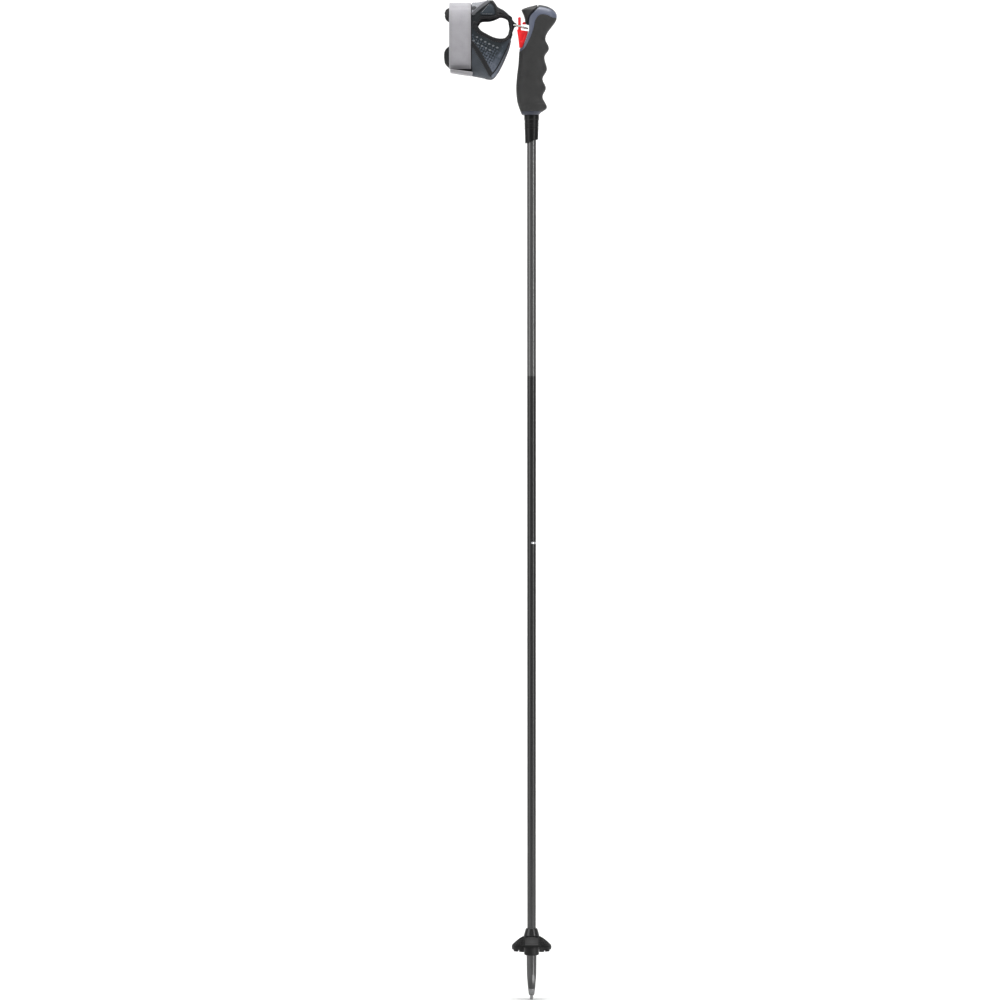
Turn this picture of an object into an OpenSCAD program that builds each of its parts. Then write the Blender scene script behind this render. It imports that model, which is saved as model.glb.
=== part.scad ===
// Alpine ski pole with a trigger grip and a releasable hand strap.
// Millimetres. The origin is the bottom of the hard-metal tip, on the shaft's axis. +Z runs up the
// shaft. The strap side of the grip faces -X, and the fingers close round the +X side.

/* [Shaft] */
// Outer diameter of the tube inside the grip
shaft_top_d = 11.2; // [10.8:0.1:11.4]
// Outer diameter of the tube inside the tip ferrule
shaft_tip_d = 10.6; // [10:0.1:10.8]
// Wall of the tube
shaft_wall = 0.9; // [0.7:0.1:1.4]
// Height of the tube's lower end
shaft_low_z = 44; // [42:1:50]
// Height of the tube's upper end
shaft_high_z = 1140; // [1130:1:1140]

/* [Tip and basket] */
// Diameter of the hard-metal pin
tip_d = 4; // [3:0.2:5]
// Length of the pin that stands out
tip_len = 5.4; // [4:0.2:8]
// Diameter of the basket's rim
basket_d = 48; // [44:1:56]
// Height of the basket's rim shoulder
rim_z = 65.8; // [64:0.2:68]
// Thickness of the basket's dome
basket_wall = 1.8; // [1.4:0.1:2.4]

/* [Grip] */
// Height of the grip's lower end
grip_low_z = 1067.2; // [1066:0.2:1067.2]
// Half of the grip's width across the palm
palm_half_w = 14.2; // [13:0.1:15.5]
// Squareness of the grip's cross-section, 2 being an ellipse
grip_power = 2.4; // [2:0.1:3]
// Diameter of the core's socket wall
socket_d = 16; // [15:0.5:17]

/* [Trigger and button] */
// Width of the red trigger
trigger_w = 12; // [11:0.5:13]
// Diameter of the loop post
post_d = 3.6; // [3:0.1:4]
// Height of the top of the loop post
post_top_z = 1185.7; // [1183:0.1:1187]
// Running gap between moving parts
run_gap = 0.4; // [0.3:0.05:0.5]

/* [Hand strap] */
// Diameter of the loop cord
cord_d = 2.4; // [2:0.1:2.6]
// Thickness of the hand panels
panel_t = 2.4; // [2:0.1:3]
// Thickness of the padded wrist cuff
cuff_t = 4.6; // [4:0.1:5.5]
// Width of the closure webbing
webbing_w = 26.3; // [25:0.1:27]

/* [Hidden] */

$fn = 48;
eps = 0.01;
far = 60; // half-length of a cut that passes right through the grip or strap

ferrule_top_z = 86.3;
collar_z = 77.2;
hub_low_z = 53.7;
holder_z = 13.3;
seat_r = 6.15;
collar_low_z = grip_low_z;
collar_high_z = grip_low_z + 4.1;
grip_high_z = 1200.2;
sleeve_low_z = 1032.9;

trigger_pivot = [-12.9, 1150.2]; // x and z of the trigger's pin
button_pivot = [5.8, 1189.2];    // x and z of the button's pin
pivot_pin_r = 1;
pin_play = 0.05;
post_x = -14.6;
strap_eye = [-20.5, 1176];       // x and z of the strap's eye, where the loop passes through it
loop_far = [-5.2, 1171.8];       // x and z of the middle of the loop's far end

// ---- small helpers -------------------------------------------------------------------------

function mix(a, b, t) = a + (b - a) * t;
function ease(t) = (1 - cos(180 * min(1, max(0, t)))) / 2;
function signed_pow(v, p) = sign(v) * pow(abs(v), p);

// Value at z of a curve that swings smoothly from one high or low point to the next
function swing(z, keys, i = 0) =
    (i >= len(keys) - 2 || z <= keys[i + 1][0])
        ? mix(keys[i][1], keys[i + 1][1], ease((z - keys[i][0]) / (keys[i + 1][0] - keys[i][0])))
        : swing(z, keys, i + 1);

// One point of a Catmull-Rom curve
function spline_point(a, b, c, d, t) =
    0.5 * (2 * b + (c - a) * t + (2 * a - 5 * b + 4 * c - d) * t * t
           + (3 * b - a - 3 * c + d) * t * t * t);

// A smooth open curve through the points p, with n steps between neighbours
function smooth(p, n = 4) = [
    for (i = [0 : len(p) - 2]) for (k = [0 : n - 1])
        spline_point(p[max(0, i - 1)], p[i], p[i + 1], p[min(len(p) - 1, i + 2)], k / n),
    p[len(p) - 1]
];

// A prism whose outline is drawn in the x, z plane, from y = -half_w to half_w
module side_prism(outline, half_w) {
    rotate([90, 0, 0])
        translate([0, 0, -half_w])
            linear_extrude(height = 2 * half_w) polygon(outline);
}

// A cylinder along y through the point p = [x, z]
module cross_cylinder(p, r, half_w) {
    translate([p[0], 0, p[1]])
        rotate([90, 0, 0])
            cylinder(r = r, h = 2 * half_w, center = true);
}

// A solid skinned over rings of points; the rings run in order and have the same even count.
// A ring is closed off by a strip of triangles between its first half and its second half.
module skin(rings, closed = false) {
    n = len(rings[0]);
    m = len(rings);
    last = closed ? m - 1 : m - 2;
    sides = [
        for (i = [0 : last]) for (k = [0 : n - 1])
            let (j = (i + 1) % m, q = (k + 1) % n)
                for (f = [[i * n + k, j * n + q, i * n + q], [i * n + k, j * n + k, j * n + q]]) f
    ];
    low_cap = [
        for (k = [0 : n / 2 - 2])
            for (f = [[k, k + 1, n - 2 - k], [k, n - 2 - k, n - 1 - k]]) f
    ];
    high_cap = [for (f = low_cap) [for (v = [f[0], f[2], f[1]]) (m - 1) * n + v]];
    polyhedron(
        points = [for (r = rings) for (p = r) p],
        faces = closed ? sides : concat(sides, low_cap, high_cap)
    );
}

// ---- shaft ---------------------------------------------------------------------------------

module shaft_tube() {
    color("#33363a")
        rotate_extrude($fn = 64)
            polygon([
                [shaft_tip_d / 2 - shaft_wall, shaft_low_z], [shaft_tip_d / 2, shaft_low_z],
                [shaft_tip_d / 2, ferrule_top_z + 4], [shaft_top_d / 2, sleeve_low_z - 4],
                [shaft_top_d / 2, shaft_high_z], [shaft_top_d / 2 - shaft_wall, shaft_high_z],
                [shaft_top_d / 2 - shaft_wall, sleeve_low_z - 4],
                [shaft_tip_d / 2 - shaft_wall, ferrule_top_z + 4]
            ]);
}

module shaft_end_plug() {
    plug_len = 12;
    flange_t = 1.6;
    color("#26282b")
        union() {
            translate([0, 0, shaft_high_z - plug_len])
                cylinder(r = shaft_top_d / 2 - shaft_wall, h = plug_len + eps);
            translate([0, 0, shaft_high_z])
                cylinder(r = shaft_top_d / 2, h = flange_t);
        }
}

// ---- tip and basket ------------------------------------------------------------------------

module tip_ferrule() {
    collar_low_r = 9.5;
    collar_high_r = 6.9;
    waist_z = 30;
    waist_r = 5.85;
    end_r = 4.45;
    stem_top_z = 30;
    color("#1d1e20")
        difference() {
            rotate_extrude($fn = 64)
                polygon([
                    [0, holder_z], [end_r, holder_z], [waist_r, waist_z], [seat_r, hub_low_z],
                    [seat_r, collar_z], [collar_low_r, collar_z], [collar_high_r, ferrule_top_z],
                    [0, ferrule_top_z]
                ]);
            translate([0, 0, shaft_low_z])
                cylinder(r = shaft_tip_d / 2, h = ferrule_top_z - shaft_low_z + 1);
            translate([0, 0, holder_z - 1])
                cylinder(r = 3, h = stem_top_z - holder_z + 1);
        }
}

module tip_holder() {
    end_r = 4.45;
    nose_r = 3.3;
    color("#b9bcc0")
        difference() {
            union() {
                translate([0, 0, tip_len])
                    cylinder(r1 = nose_r, r2 = end_r, h = holder_z - tip_len);
                translate([0, 0, holder_z - eps])
                    cylinder(r = 3, h = 30 - holder_z + eps);
            }
            translate([0, 0, tip_len - 1])
                cylinder(r = 1.6, h = 10);
        }
}

module carbide_tip() {
    cup_r = 2.7;
    color("#d5d8db")
        difference() {
            union() {
                cylinder(r = tip_d / 2, h = tip_len);
                translate([0, 0, tip_len - eps])
                    cylinder(r = 1.6, h = 9 + eps);
            }
            translate([0, 0, -2.2])
                sphere(r = cup_r);
        }
}

// Height of the outside of the dome at radius r: a shallow arc that steepens towards the rim
function dome_z(r) = rim_z + 11 * (1 - pow((r - 9.3) / (basket_d / 2 - 9.3), 1.35));

module basket() {
    rim_r = basket_d / 2;
    hub_r = 9.05;
    skirt_z = 58.8;
    shallow_z = 64.4;
    outer = [for (i = [0 : 10]) let (r = mix(9.3, rim_r - 0.8, i / 10)) [r, dome_z(r)]];
    inner = [for (i = [8 : -1 : 0])
        let (r = mix(hub_r, rim_r - 3.4, i / 8)) [r, dome_z(r + 0.6) - basket_wall - 0.6]];
    color("#1b1c1e")
        difference() {
            rotate_extrude($fn = 72)
                polygon(concat(
                    [[seat_r, collar_z - eps], [9.3, collar_z - eps]], outer,
                    [[rim_r, rim_z - 0.8], [rim_r, 63.5], [rim_r - 1.2, skirt_z],
                     [rim_r - 3.4, skirt_z]],
                    inner,
                    [[hub_r, hub_low_z + 1.2], [hub_r - 1.2, hub_low_z], [seat_r, hub_low_z]]
                ));
            // the rim is lower on the left and right lobes than at the front and back
            for (a = [90, 270])
                rotate([0, 0, a])
                    translate([10, -10.4, skirt_z - 1])
                        cube([20, 20.8, shallow_z - skirt_z + 1]);
            for (side = [0, 180]) {
                // the middle of each lobe stands a little above its teeth
                rotate([0, 0, side])
                    translate([12, -9.6, skirt_z - 1])
                        cube([20, 19.2, 3.2]);
                // the gap between the two teeth at each end of a lobe
                for (a = [-45, 45])
                    rotate([0, 0, side + a])
                        translate([12, -1.2, skirt_z - 1])
                            cube([20, 2.4, 3.8]);
            }
        }
}

// ---- grip ----------------------------------------------------------------------------------

// Side view of the grip: [z, x] of the high and low points of the finger side
finger_keys = [
    [1067.2, 9.1], [1076.5, 18.6], [1089.4, 13.4], [1099.8, 17.3], [1110.7, 13.4],
    [1122.6, 18.6], [1136.8, 15.6], [1147.7, 21], [1159.1, 16.8], [1186.3, 30.7]
];
// Side view of the strap side: [z, x], then the top edge runs back from the button's beak
strap_side_keys = [
    [1067.2, -11.8], [1069.6, -12.8], [1074.7, -14.6], [1083.3, -17.3], [1098.8, -18.7],
    [1115.7, -17.6], [1127.8, -16.1], [1147.1, -14.6], [1162, -11.2], [1177.2, -8],
    [1185.1, -8.8], [1193.8, -12.4]
];
// Half-width of the grip across the palm: [z, y]
width_keys = [
    [1067.2, 10.6], [1074, 12.6], [1085, palm_half_w - 0.4], [1105, palm_half_w],
    [1150, palm_half_w + 0.2], [1172, palm_half_w - 0.2], [1186, 13.4], [1193.8, 11.2],
    [1197.5, 8], [1200.2, 3.4]
];
beak_z = 1193.8;
brow_z = 1186.3;

function grip_back(z) =
    z <= brow_z
        ? swing(z, finger_keys)
        : 8.6 + (30.7 - 8.6) * pow(max(0, 1 - pow((z - brow_z) / (grip_high_z - brow_z), 1.9)), 1 / 1.9);
function grip_front(z) =
    z <= beak_z
        ? lookup(z, strap_side_keys)
        : -12.4 + 18.2 * pow((z - beak_z) / (grip_high_z - beak_z), 1.7);
function grip_half_w(z) = lookup(z, width_keys);

function grip_ring(z, n) =
    let (x0 = grip_front(z), x1 = grip_back(z), cx = (x0 + x1) / 2, a = (x1 - x0) / 2)
        [for (k = [0 : n - 1]) let (t = 360 * k / n) [
            cx + a * signed_pow(cos(t), 2 / grip_power),
            grip_half_w(z) * signed_pow(sin(t), 2 / grip_power),
            z
        ]];

// The grip's outer form between two heights
module grip_form(z0, z1, steps, n = 28) {
    skin([for (i = [0 : steps]) grip_ring(mix(z0, z1, i / steps), n)]);
}

// The head, with rings closer together where its top closes over
module head_form(z0) {
    body = [for (i = [0 : 11]) mix(z0, 1190, i / 11)];
    crown = [for (i = [1 : 8]) mix(1190, grip_high_z, sin(90 * i / 8))];
    skin([for (z = concat(body, crown)) grip_ring(z, 28)]);
}

// Edge of the bare core that faces the trigger and the button, from the crown downwards
band_outer = [
    [29.2, 1190.1], [22.2, 1194.7], [10.1, 1197.1], [6.5, 1194.1], [-0.7, 1186.9],
    [-3.1, 1180.9], [-3.1, 1172.4], [-3.7, 1167.6], [-8, 1154.9], [-11, 1148.3], [-14.6, 1147.1]
];
// Edge where the rubber cover begins, from the brow downwards
band_inner = [
    [29, 1184.5], [25.8, 1183.9], [19.2, 1186.9], [12.6, 1188.1], [7.7, 1185.7],
    [4.1, 1179.6], [2.7, 1172.4], [-0.7, 1162.1], [-4.9, 1153.1], [-8, 1147.7], [-12.8, 1144]
];
function backwards(p) = [for (i = [len(p) - 1 : -1 : 0]) p[i]];

outer_edge = smooth(band_outer, 2);
inner_edge = smooth(band_inner, 2);
band_region = concat(
    [[45, 1181.5]], outer_edge, [[-40, 1146.9]], [[-40, 1140.3]], backwards(inner_edge)
);
cover_region = concat(
    inner_edge, [[-40, 1140.3], [-40, 1060], [60, 1060], [60, 1181.5], [45, 1181.5]]
);
pad_region = concat(
    [[45, 1181.5], [45, 1206], [outer_edge[5][0], 1206]],
    [for (i = [5 : -1 : 0]) outer_edge[i]]
);
inner_slab = [
    [-9, 1139], [9, 1139], [9, 1160], [12.5, 1171], [19, 1182], [17, 1189], [9, 1191.6],
    [4.2, 1190.4], [0.6, 1184], [-1.2, 1178], [-1.2, 1170], [-5, 1158], [-9, 1149.4]
];
slab_half_w = 7.6;
button_arm = [[5.8, 1191.8], [3.2, 1189.2], [-3.4, 1191.4], [2.2, 1196.4], [4.6, 1196.4]];
arm_half_w = 4;

module core_inside() {
    side_prism(inner_slab, slab_half_w);
    translate([0, 0, collar_high_z])
        cylinder(r = socket_d / 2, h = 1145 - collar_high_z);
}

module grip_core() {
    ear_low = 1.3;
    ear_high = 3.1;
    color("#7a8299")
        difference() {
            union() {
                intersection() {
                    head_form(1139);
                    side_prism(band_region, far);
                }
                core_inside();
                // two ears that hold the trigger's pin
                for (s = [-1, 1])
                    translate([0, s * (ear_low + ear_high) / 2, 0]) {
                        cross_cylinder(trigger_pivot, 1.9, (ear_high - ear_low) / 2);
                        side_prism([
                            [-12.9, 1148.3], [-8, 1148.3], [-8, 1153], [-12.9, 1152.1]
                        ], (ear_high - ear_low) / 2);
                    }
            }
            // socket for the tube and its end plug
            translate([0, 0, collar_high_z - 1])
                cylinder(r = shaft_top_d / 2, h = shaft_high_z + 1.6 - collar_high_z + 1);
            // room for the trigger's hub on both sides of the ears
            for (s = [-1, 1])
                translate([0, s * (far + ear_high + 0.2) / 2, 0])
                    cross_cylinder(trigger_pivot, 2.6, (far - ear_high - 0.2) / 2);
            cross_cylinder(trigger_pivot, pivot_pin_r, far);
            // room for the button's arm and hub
            cross_cylinder(button_pivot, 3, arm_half_w + run_gap);
            side_prism([
                [8.2, 1191.4], [3.4, 1187.2], [-6, 1186.6], [-6, 1200], [8.2, 1199]
            ], arm_half_w + run_gap);
            cross_cylinder(button_pivot, pivot_pin_r, 8);
        }
}

module grip_cover() {
    color("#363636")
        difference() {
            intersection() {
                union() {
                    grip_form(collar_high_z, 1159, 30);
                    translate([0, 0, -eps]) head_form(1159);
                }
                side_prism(cover_region, far);
            }
            core_inside();
        }
}

module grip_collar() {
    color("#7a8299")
        difference() {
            grip_form(collar_low_z, collar_high_z, 2);
            translate([0, 0, collar_low_z - 1])
                cylinder(r = shaft_top_d / 2, h = 8);
        }
}

module grip_sleeve() {
    top_r = 9.05;
    low_r = 7.85;
    step_z = 1061.4;
    color("#202124")
        difference() {
            union() {
                translate([0, 0, sleeve_low_z])
                    cylinder(r1 = low_r, r2 = top_r - 0.3, h = grip_low_z - sleeve_low_z);
                translate([0, 0, step_z])
                    cylinder(r = top_r, h = grip_low_z - step_z);
                // two low grip ribs under the step
                for (z = [1053.4, 1056.4])
                    translate([0, 0, z])
                        cylinder(r = 8.9, h = 1.4);
            }
            translate([0, 0, sleeve_low_z - 1])
                cylinder(r = shaft_top_d / 2, h = grip_low_z - sleeve_low_z + 2);
            // the slanted lower end, lowest on the strap side
            translate([0, 0, 1035.4])
                rotate([0, -17.3, 0])
                    translate([-30, -30, -30])
                        cube([60, 60, 30]);
        }
}

module top_pad() {
    color("#232427")
        intersection() {
            head_form(1180);
            side_prism(pad_region, far);
        }
}

// ---- trigger and button --------------------------------------------------------------------

module trigger_pin() {
    color("#b9bcc0")
        cross_cylinder(trigger_pivot, pivot_pin_r, trigger_w / 2 - 0.8);
}

// A close-wound torsion spring round a pin: turns side by side
module torsion_spring(p, mean_r, wire_r, turns) {
    pitch = 2 * wire_r + 0.04;
    for (i = [0 : turns - 1])
        translate([p[0], (i - (turns - 1) / 2) * pitch, p[1]])
            rotate([90, 0, 0])
                rotate_extrude($fn = 40)
                    translate([mean_r, 0])
                        circle(r = wire_r, $fn = 16);
}

module trigger_spring() {
    color("#9fa3a8")
        torsion_spring(trigger_pivot, 1.4, 0.28, 4);
}

module button_pin() {
    color("#b9bcc0")
        cross_cylinder(button_pivot, pivot_pin_r, 8);
}

// The button's spring sits in a slot in the middle of the button's hub
module button_spring() {
    color("#9fa3a8")
        torsion_spring(button_pivot, 1.5, 0.3, 4);
}

module trigger_lever() {
    hub_r = 2.2;
    slot_half_w = 3.5;
    color("#e8281f")
        difference() {
            union() {
                side_prism([
                    [-17.6, 1170], [-4.1, 1168.2], [-4.4, 1166.9], [-8.6, 1154.5],
                    [-10.9, 1149.4], [-15, 1149.6]
                ], trigger_w / 2);
                cross_cylinder(trigger_pivot, hub_r, trigger_w / 2);
            }
            cross_cylinder(trigger_pivot, pivot_pin_r + pin_play, trigger_w / 2 - 0.8);
            // slot for the two ears and the spring
            translate([-17.5, -slot_half_w, 1145])
                cube([20, 2 * slot_half_w, 9.6]);
            // socket for the post's root
            translate([post_x, 0, 1163.5])
                cylinder(r = post_d / 2, h = 12);
        }
}

module loop_post() {
    color("#e8281f")
        union() {
            translate([post_x, 0, 1163.5])
                cylinder(r = post_d / 2, h = post_top_z - post_d / 2 - 1163.5);
            translate([post_x, 0, post_top_z - post_d / 2])
                sphere(r = post_d / 2);
        }
}

nose_low = [-11.2, 1176.6];
nose_high = [-6.8, 1179.6];
nose_half_w = 2.4;

module nose_block() {
    translate([nose_low[0], -nose_half_w, nose_low[1]])
        cube([nose_high[0] - nose_low[0], 2 * nose_half_w, nose_high[1] - nose_low[1]]);
}

module release_button() {
    // the edge that faces the core, one gap away from it
    rear_edge = smooth([
        [7.2, 1203], [6.9, 1198.4], [4.6, 1195.4], [-2.4, 1188.3], [-4.8, 1181.7], [-5.3, 1177.2]
    ], 2);
    color("#2b2b2b")
        difference() {
            union() {
                intersection() {
                    head_form(1174);
                    side_prism(concat(rear_edge, [[-30, 1177.2], [-30, 1203]]), far);
                }
                side_prism(button_arm, arm_half_w);
                cross_cylinder(button_pivot, 2.6, arm_half_w);
            }
            cross_cylinder(button_pivot, pivot_pin_r + pin_play, far);
            // slot for the spring
            cross_cylinder(button_pivot, 3.2, 1.5);
            nose_block();
        }
}

module latch_nose() {
    color("#e8281f")
        difference() {
            nose_block();
            // the chamfer that lets the loop click in from above
            translate([nose_low[0], 0, nose_high[1]])
                rotate([0, 45, 0])
                    cube([2, 10, 2], center = true);
        }
}

// ---- loop cord -----------------------------------------------------------------------------

// Route of the loop in its own sloping plane: [distance from the eye, y], hand-chosen round numbers
loop_len = norm(loop_far - strap_eye);
loop_route = concat(
    [[0, 0], [0, 1.2], [0, 2.3]],
    [for (a = [30, 60]) [1.9 - 1.9 * cos(a), 2.3 + 1.9 * sin(a)]],
    [[1.9, 4.2], [5, 3.9], [8.6, 3.6]],
    [for (a = [90 : -22.5 : -90]) [loop_len - 3.4 + 3.4 * cos(a), 3.4 * sin(a)]],
    [[8.6, -3.6], [5, -3.9], [1.9, -4.2]],
    [for (a = [60, 30]) [1.9 - 1.9 * cos(a), -2.3 - 1.9 * sin(a)]],
    [[0, -2.3], [0, -1.2]]
);
function on_slope(p) =
    let (d = (loop_far - strap_eye) / loop_len)
        [strap_eye[0] + p[0] * d[0], p[1], strap_eye[1] + p[0] * d[1]];

// Rings of n points round a closed path that lies in one plane with the normal up
function cord_rings(path, r, up, n) = [
    for (i = [0 : len(path) - 1])
        let (
            m = len(path),
            along = path[(i + 1) % m] - path[(i + m - 1) % m],
            side = cross(up, along) / norm(cross(up, along))
        )
            [for (k = [0 : n - 1]) path[i] + r * (cos(360 * k / n) * side + sin(360 * k / n) * up)]
];

module loop_cord() {
    d = (loop_far - strap_eye) / loop_len;
    color("#e6e6e2")
        skin(cord_rings([for (p = loop_route) on_slope(p)], cord_d / 2, [-d[1], 0, d[0]], 8), true);
}

// ---- hand strap ----------------------------------------------------------------------------

// Stations of the two hand panels, from the cuff to the anchor. Each is the open edge's x and z,
// the outer ridge's x and z, and the half-width across y.
lower_stations = [
    [-72, 1172, -72, 1114, 28], [-65.5, 1172, -64, 1112.5, 27.5], [-61, 1166.6, -56, 1111, 26.5],
    [-55, 1163.2, -48, 1111, 25], [-46.8, 1159.3, -41.5, 1118, 22], [-39.5, 1157.9, -35.5, 1129, 18],
    [-32.1, 1158.9, -29.5, 1143, 13], [-27.6, 1164, -24.9, 1157, 8]
];
upper_stations = [
    [-72, 1172.6, -72, 1203, 28], [-65.5, 1175.5, -64.3, 1203.8, 27], [-61, 1181.5, -57, 1204.8, 24],
    [-50.9, 1182.1, -50.2, 1205.8, 20], [-43.4, 1184, -46.2, 1205.2, 17],
    [-38.1, 1186, -40.8, 1198, 11], [-33.3, 1185, -33.4, 1194, 8], [-28.7, 1182.7, -26.4, 1187.6, 6]
];
web_power = 2.3; // squareness of the panels' cross-section

// Point of a panel's outside (inset 0) or inside (inset t) at angle a from its ridge
function web_point(s, a, inset) =
    let (
        reach = norm([s[2] - s[0], s[3] - s[1]]),
        c = signed_pow(cos(a), 2 / web_power) * (reach - inset) / reach,
        y = signed_pow(sin(a), 2 / web_power) * (s[4] - inset)
    )
        [mix(s[0], s[2], c), y, mix(s[1], s[3], c)];
function web_ring(s, t) = concat(
    [for (a = [-90 : 15 : 90]) web_point(s, a, 0)],
    [for (a = [90 : -15 : -90]) web_point(s, a, t)]
);

module web_panel(stations, flip) {
    rings = [for (s = stations) web_ring(s, panel_t)];
    skin(flip ? backwards(rings) : rings);
}

module strap_upper() {
    color("#4c5866")
        web_panel(upper_stations, true);
}

module strap_lower() {
    color("#3f4d5c")
        web_panel(lower_stations, false);
}

// Outline of the cuff in y, z, grown outwards by g; taller below the wrist's middle than above
cuff_mid_z = 1168;
cuff_top = 1201.4;
cuff_low = 1117;
cuff_half_w = 26;
function cuff_outline(g, n = 56) = [
    for (k = [0 : n - 1])
        let (a = 360 * k / n, up = sin(a) >= 0)
            [
                (cuff_half_w + g) * signed_pow(cos(a), 2 / web_power),
                cuff_mid_z + ((up ? cuff_top - cuff_mid_z : cuff_mid_z - cuff_low) + g)
                    * signed_pow(sin(a), 2 / web_power)
            ]
];

// A tube along x with the cuff's outline, between two growths of it
module cuff_band(x0, x1, inner_g, outer_g) {
    translate([x0, 0, 0])
        rotate([90, 0, 90])
            difference() {
                linear_extrude(height = x1 - x0) polygon(cuff_outline(outer_g));
                translate([0, 0, -1])
                    linear_extrude(height = x1 - x0 + 2) polygon(cuff_outline(inner_g));
            }
}

module wrist_cuff() {
    color("#2a2b2e")
        intersection() {
            cuff_band(-110, -72, -cuff_t, 0);
            union() {
                translate([-98.4, -far, 1100])
                    cube([30, 2 * far, 120]);
                cross_cylinder([-97.3, 1188.3], 8.5, far);
                cross_cylinder([-91.9, 1136.8], 15.1, far);
            }
        }
}

webbing_x = -99.4;
patch_t = 0.8;

// A strip of one layer on the near side of the cuff, between two heights
module near_layer(x0, x1, g0, g1, z0, z1) {
    intersection() {
        cuff_band(x0, x1, g0, g1);
        translate([x0 - 1, -far, z0])
            cube([x1 - x0 + 2, far - 8, z1 - z0]);
    }
}

module loop_patch() {
    color("#3a3b3e")
        near_layer(webbing_x + 2.5, webbing_x + webbing_w - 2.5, 0, patch_t, 1128, 1192);
}

module hook_patch() {
    color("#55575b")
        near_layer(webbing_x + 3, webbing_x + webbing_w - 3, patch_t, 2 * patch_t, 1134, 1186);
}

module closure_strap() {
    color("#a09d9e")
        difference() {
            intersection() {
                cuff_band(webbing_x, webbing_x + webbing_w, 0, 2 * patch_t + 0.9);
                union() {
                    translate([webbing_x - 1, -far, 1121])
                        cube([webbing_w + 2, far, 120]);
                    translate([webbing_x - 1, -eps, 1160])
                        cube([webbing_w + 2, far, 120]);
                }
            }
            near_layer(webbing_x + 2.5, webbing_x + webbing_w - 2.5, -1, patch_t, 1128, 1192);
            near_layer(webbing_x + 3, webbing_x + webbing_w - 3, -1, 2 * patch_t, 1134, 1186);
        }
}

module strap_keeper() {
    color("#b5b2b3")
        difference() {
            translate([0, -20, 0])
                side_prism([[-98.1, 1121], [-70.3, 1117.5], [-71.7, 1113], [-98.1, 1117.7]], 7);
            translate([-120, 0, 0])
                rotate([90, 0, 90])
                    linear_extrude(height = 60) polygon(cuff_outline(2 * patch_t + 0.9));
            translate([-72, -far, 1112])
                cube([10, 2 * far, 3.2]);
        }
}

module loop_anchor() {
    eye_r = 2.7;
    eye_half_w = 2;
    body_half_w = 4.5;
    bore_r = cord_d / 2 + 0.3;
    color("#1f2124")
        difference() {
            union() {
                cross_cylinder(strap_eye, eye_r, eye_half_w);
                side_prism([
                    [-20.6, 1178.9], [-23.4, 1180.6], [-25.4, 1176.6], [-23.8, 1171.2], [-20.6, 1173.5]
                ], eye_half_w);
                // the two sewn legs that reach back to the panels
                side_prism([
                    [-23.6, 1184.7], [-26.4, 1187.8], [-29, 1182.6], [-27.2, 1177.4], [-26.6, 1171.4],
                    [-28, 1164.6], [-24.9, 1157], [-22.7, 1164], [-23.6, 1172]
                ], body_half_w);
            }
            cross_cylinder(strap_eye, bore_r, far);
        }
}

// Points along the open edge of a panel on the side s = -1 (near) or 1 (far)
function edge_points(stations, s, first) = [
    for (i = [first : len(stations) - 1])
        [stations[i][0], s * stations[i][4], stations[i][1]]
];

// Rings of n points along an open path, kept upright by the direction up
function rope_rings(path, r, up, n) = [
    for (i = [0 : len(path) - 1])
        let (
            m = len(path),
            along = path[min(m - 1, i + 1)] - path[max(0, i - 1)],
            side = cross(up, along) / norm(cross(up, along)),
            over = cross(along, side) / norm(cross(along, side))
        )
            [for (k = [0 : n - 1]) path[i] + r * (cos(360 * k / n) * side + sin(360 * k / n) * over)]
];

module thumb_binding() {
    binding_r = 1.3;
    color("#17181a")
        for (s = [-1, 1]) {
            path = concat(
                edge_points(lower_stations, s, 1),
                [[-25.4, s * 5, 1169], [-25.6, s * 5, 1175], [-26.8, s * 5.2, 1180]],
                backwards(edge_points(upper_stations, s, 1)),
                [[-67, s * 27.4, 1173.8]]
            );
            skin(cord_rings(path, binding_r, [0, s, 0], 8), true);
        }
}

module seam_tape() {
    // across the lower panel on the near side: [station, angle from the ridge]
    steps = 8;
    path = [
        for (i = [0 : steps])
            let (
                u = i / steps,
                row = mix(0.15, 3, u),
                a = mix(-64, -8, u),
                j = floor(row),
                s = mix(lower_stations[j], lower_stations[min(7, j + 1)], row - j)
            )
                web_point(s, a, 0)
    ];
    color("#3b3d42")
        skin(rope_rings(path, 1.3, [0.5, 0.6, 0.3], 8));
}

module edge_piping() {
    path = [for (i = [2 : 7]) [lower_stations[i][2], 0, lower_stations[i][3]]];
    color("#19191c")
        skin(rope_rings(path, 1.2, [0, 1, 0], 8));
}

shaft_tube();
shaft_end_plug();
tip_ferrule();
tip_holder();
carbide_tip();
basket();
grip_core();
grip_cover();
grip_collar();
grip_sleeve();
top_pad();
trigger_pin();
trigger_spring();
button_pin();
button_spring();
trigger_lever();
loop_post();
release_button();
latch_nose();
loop_cord();
loop_anchor();
wrist_cuff();
strap_upper();
strap_lower();
closure_strap();
strap_keeper();
loop_patch();
hook_patch();
thumb_binding();
seam_tape();
edge_piping();
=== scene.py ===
"""Alpine ski pole with a trigger grip and a releasable hand strap.

Lengths are millimetres, in the part's own frame, until a mesh is made. +Z runs up the shaft, the
strap side of the grip faces -X, and the near side, which the camera sees, faces -Y.
"""
import math

import bmesh
import bpy
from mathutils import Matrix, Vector, noise


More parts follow.
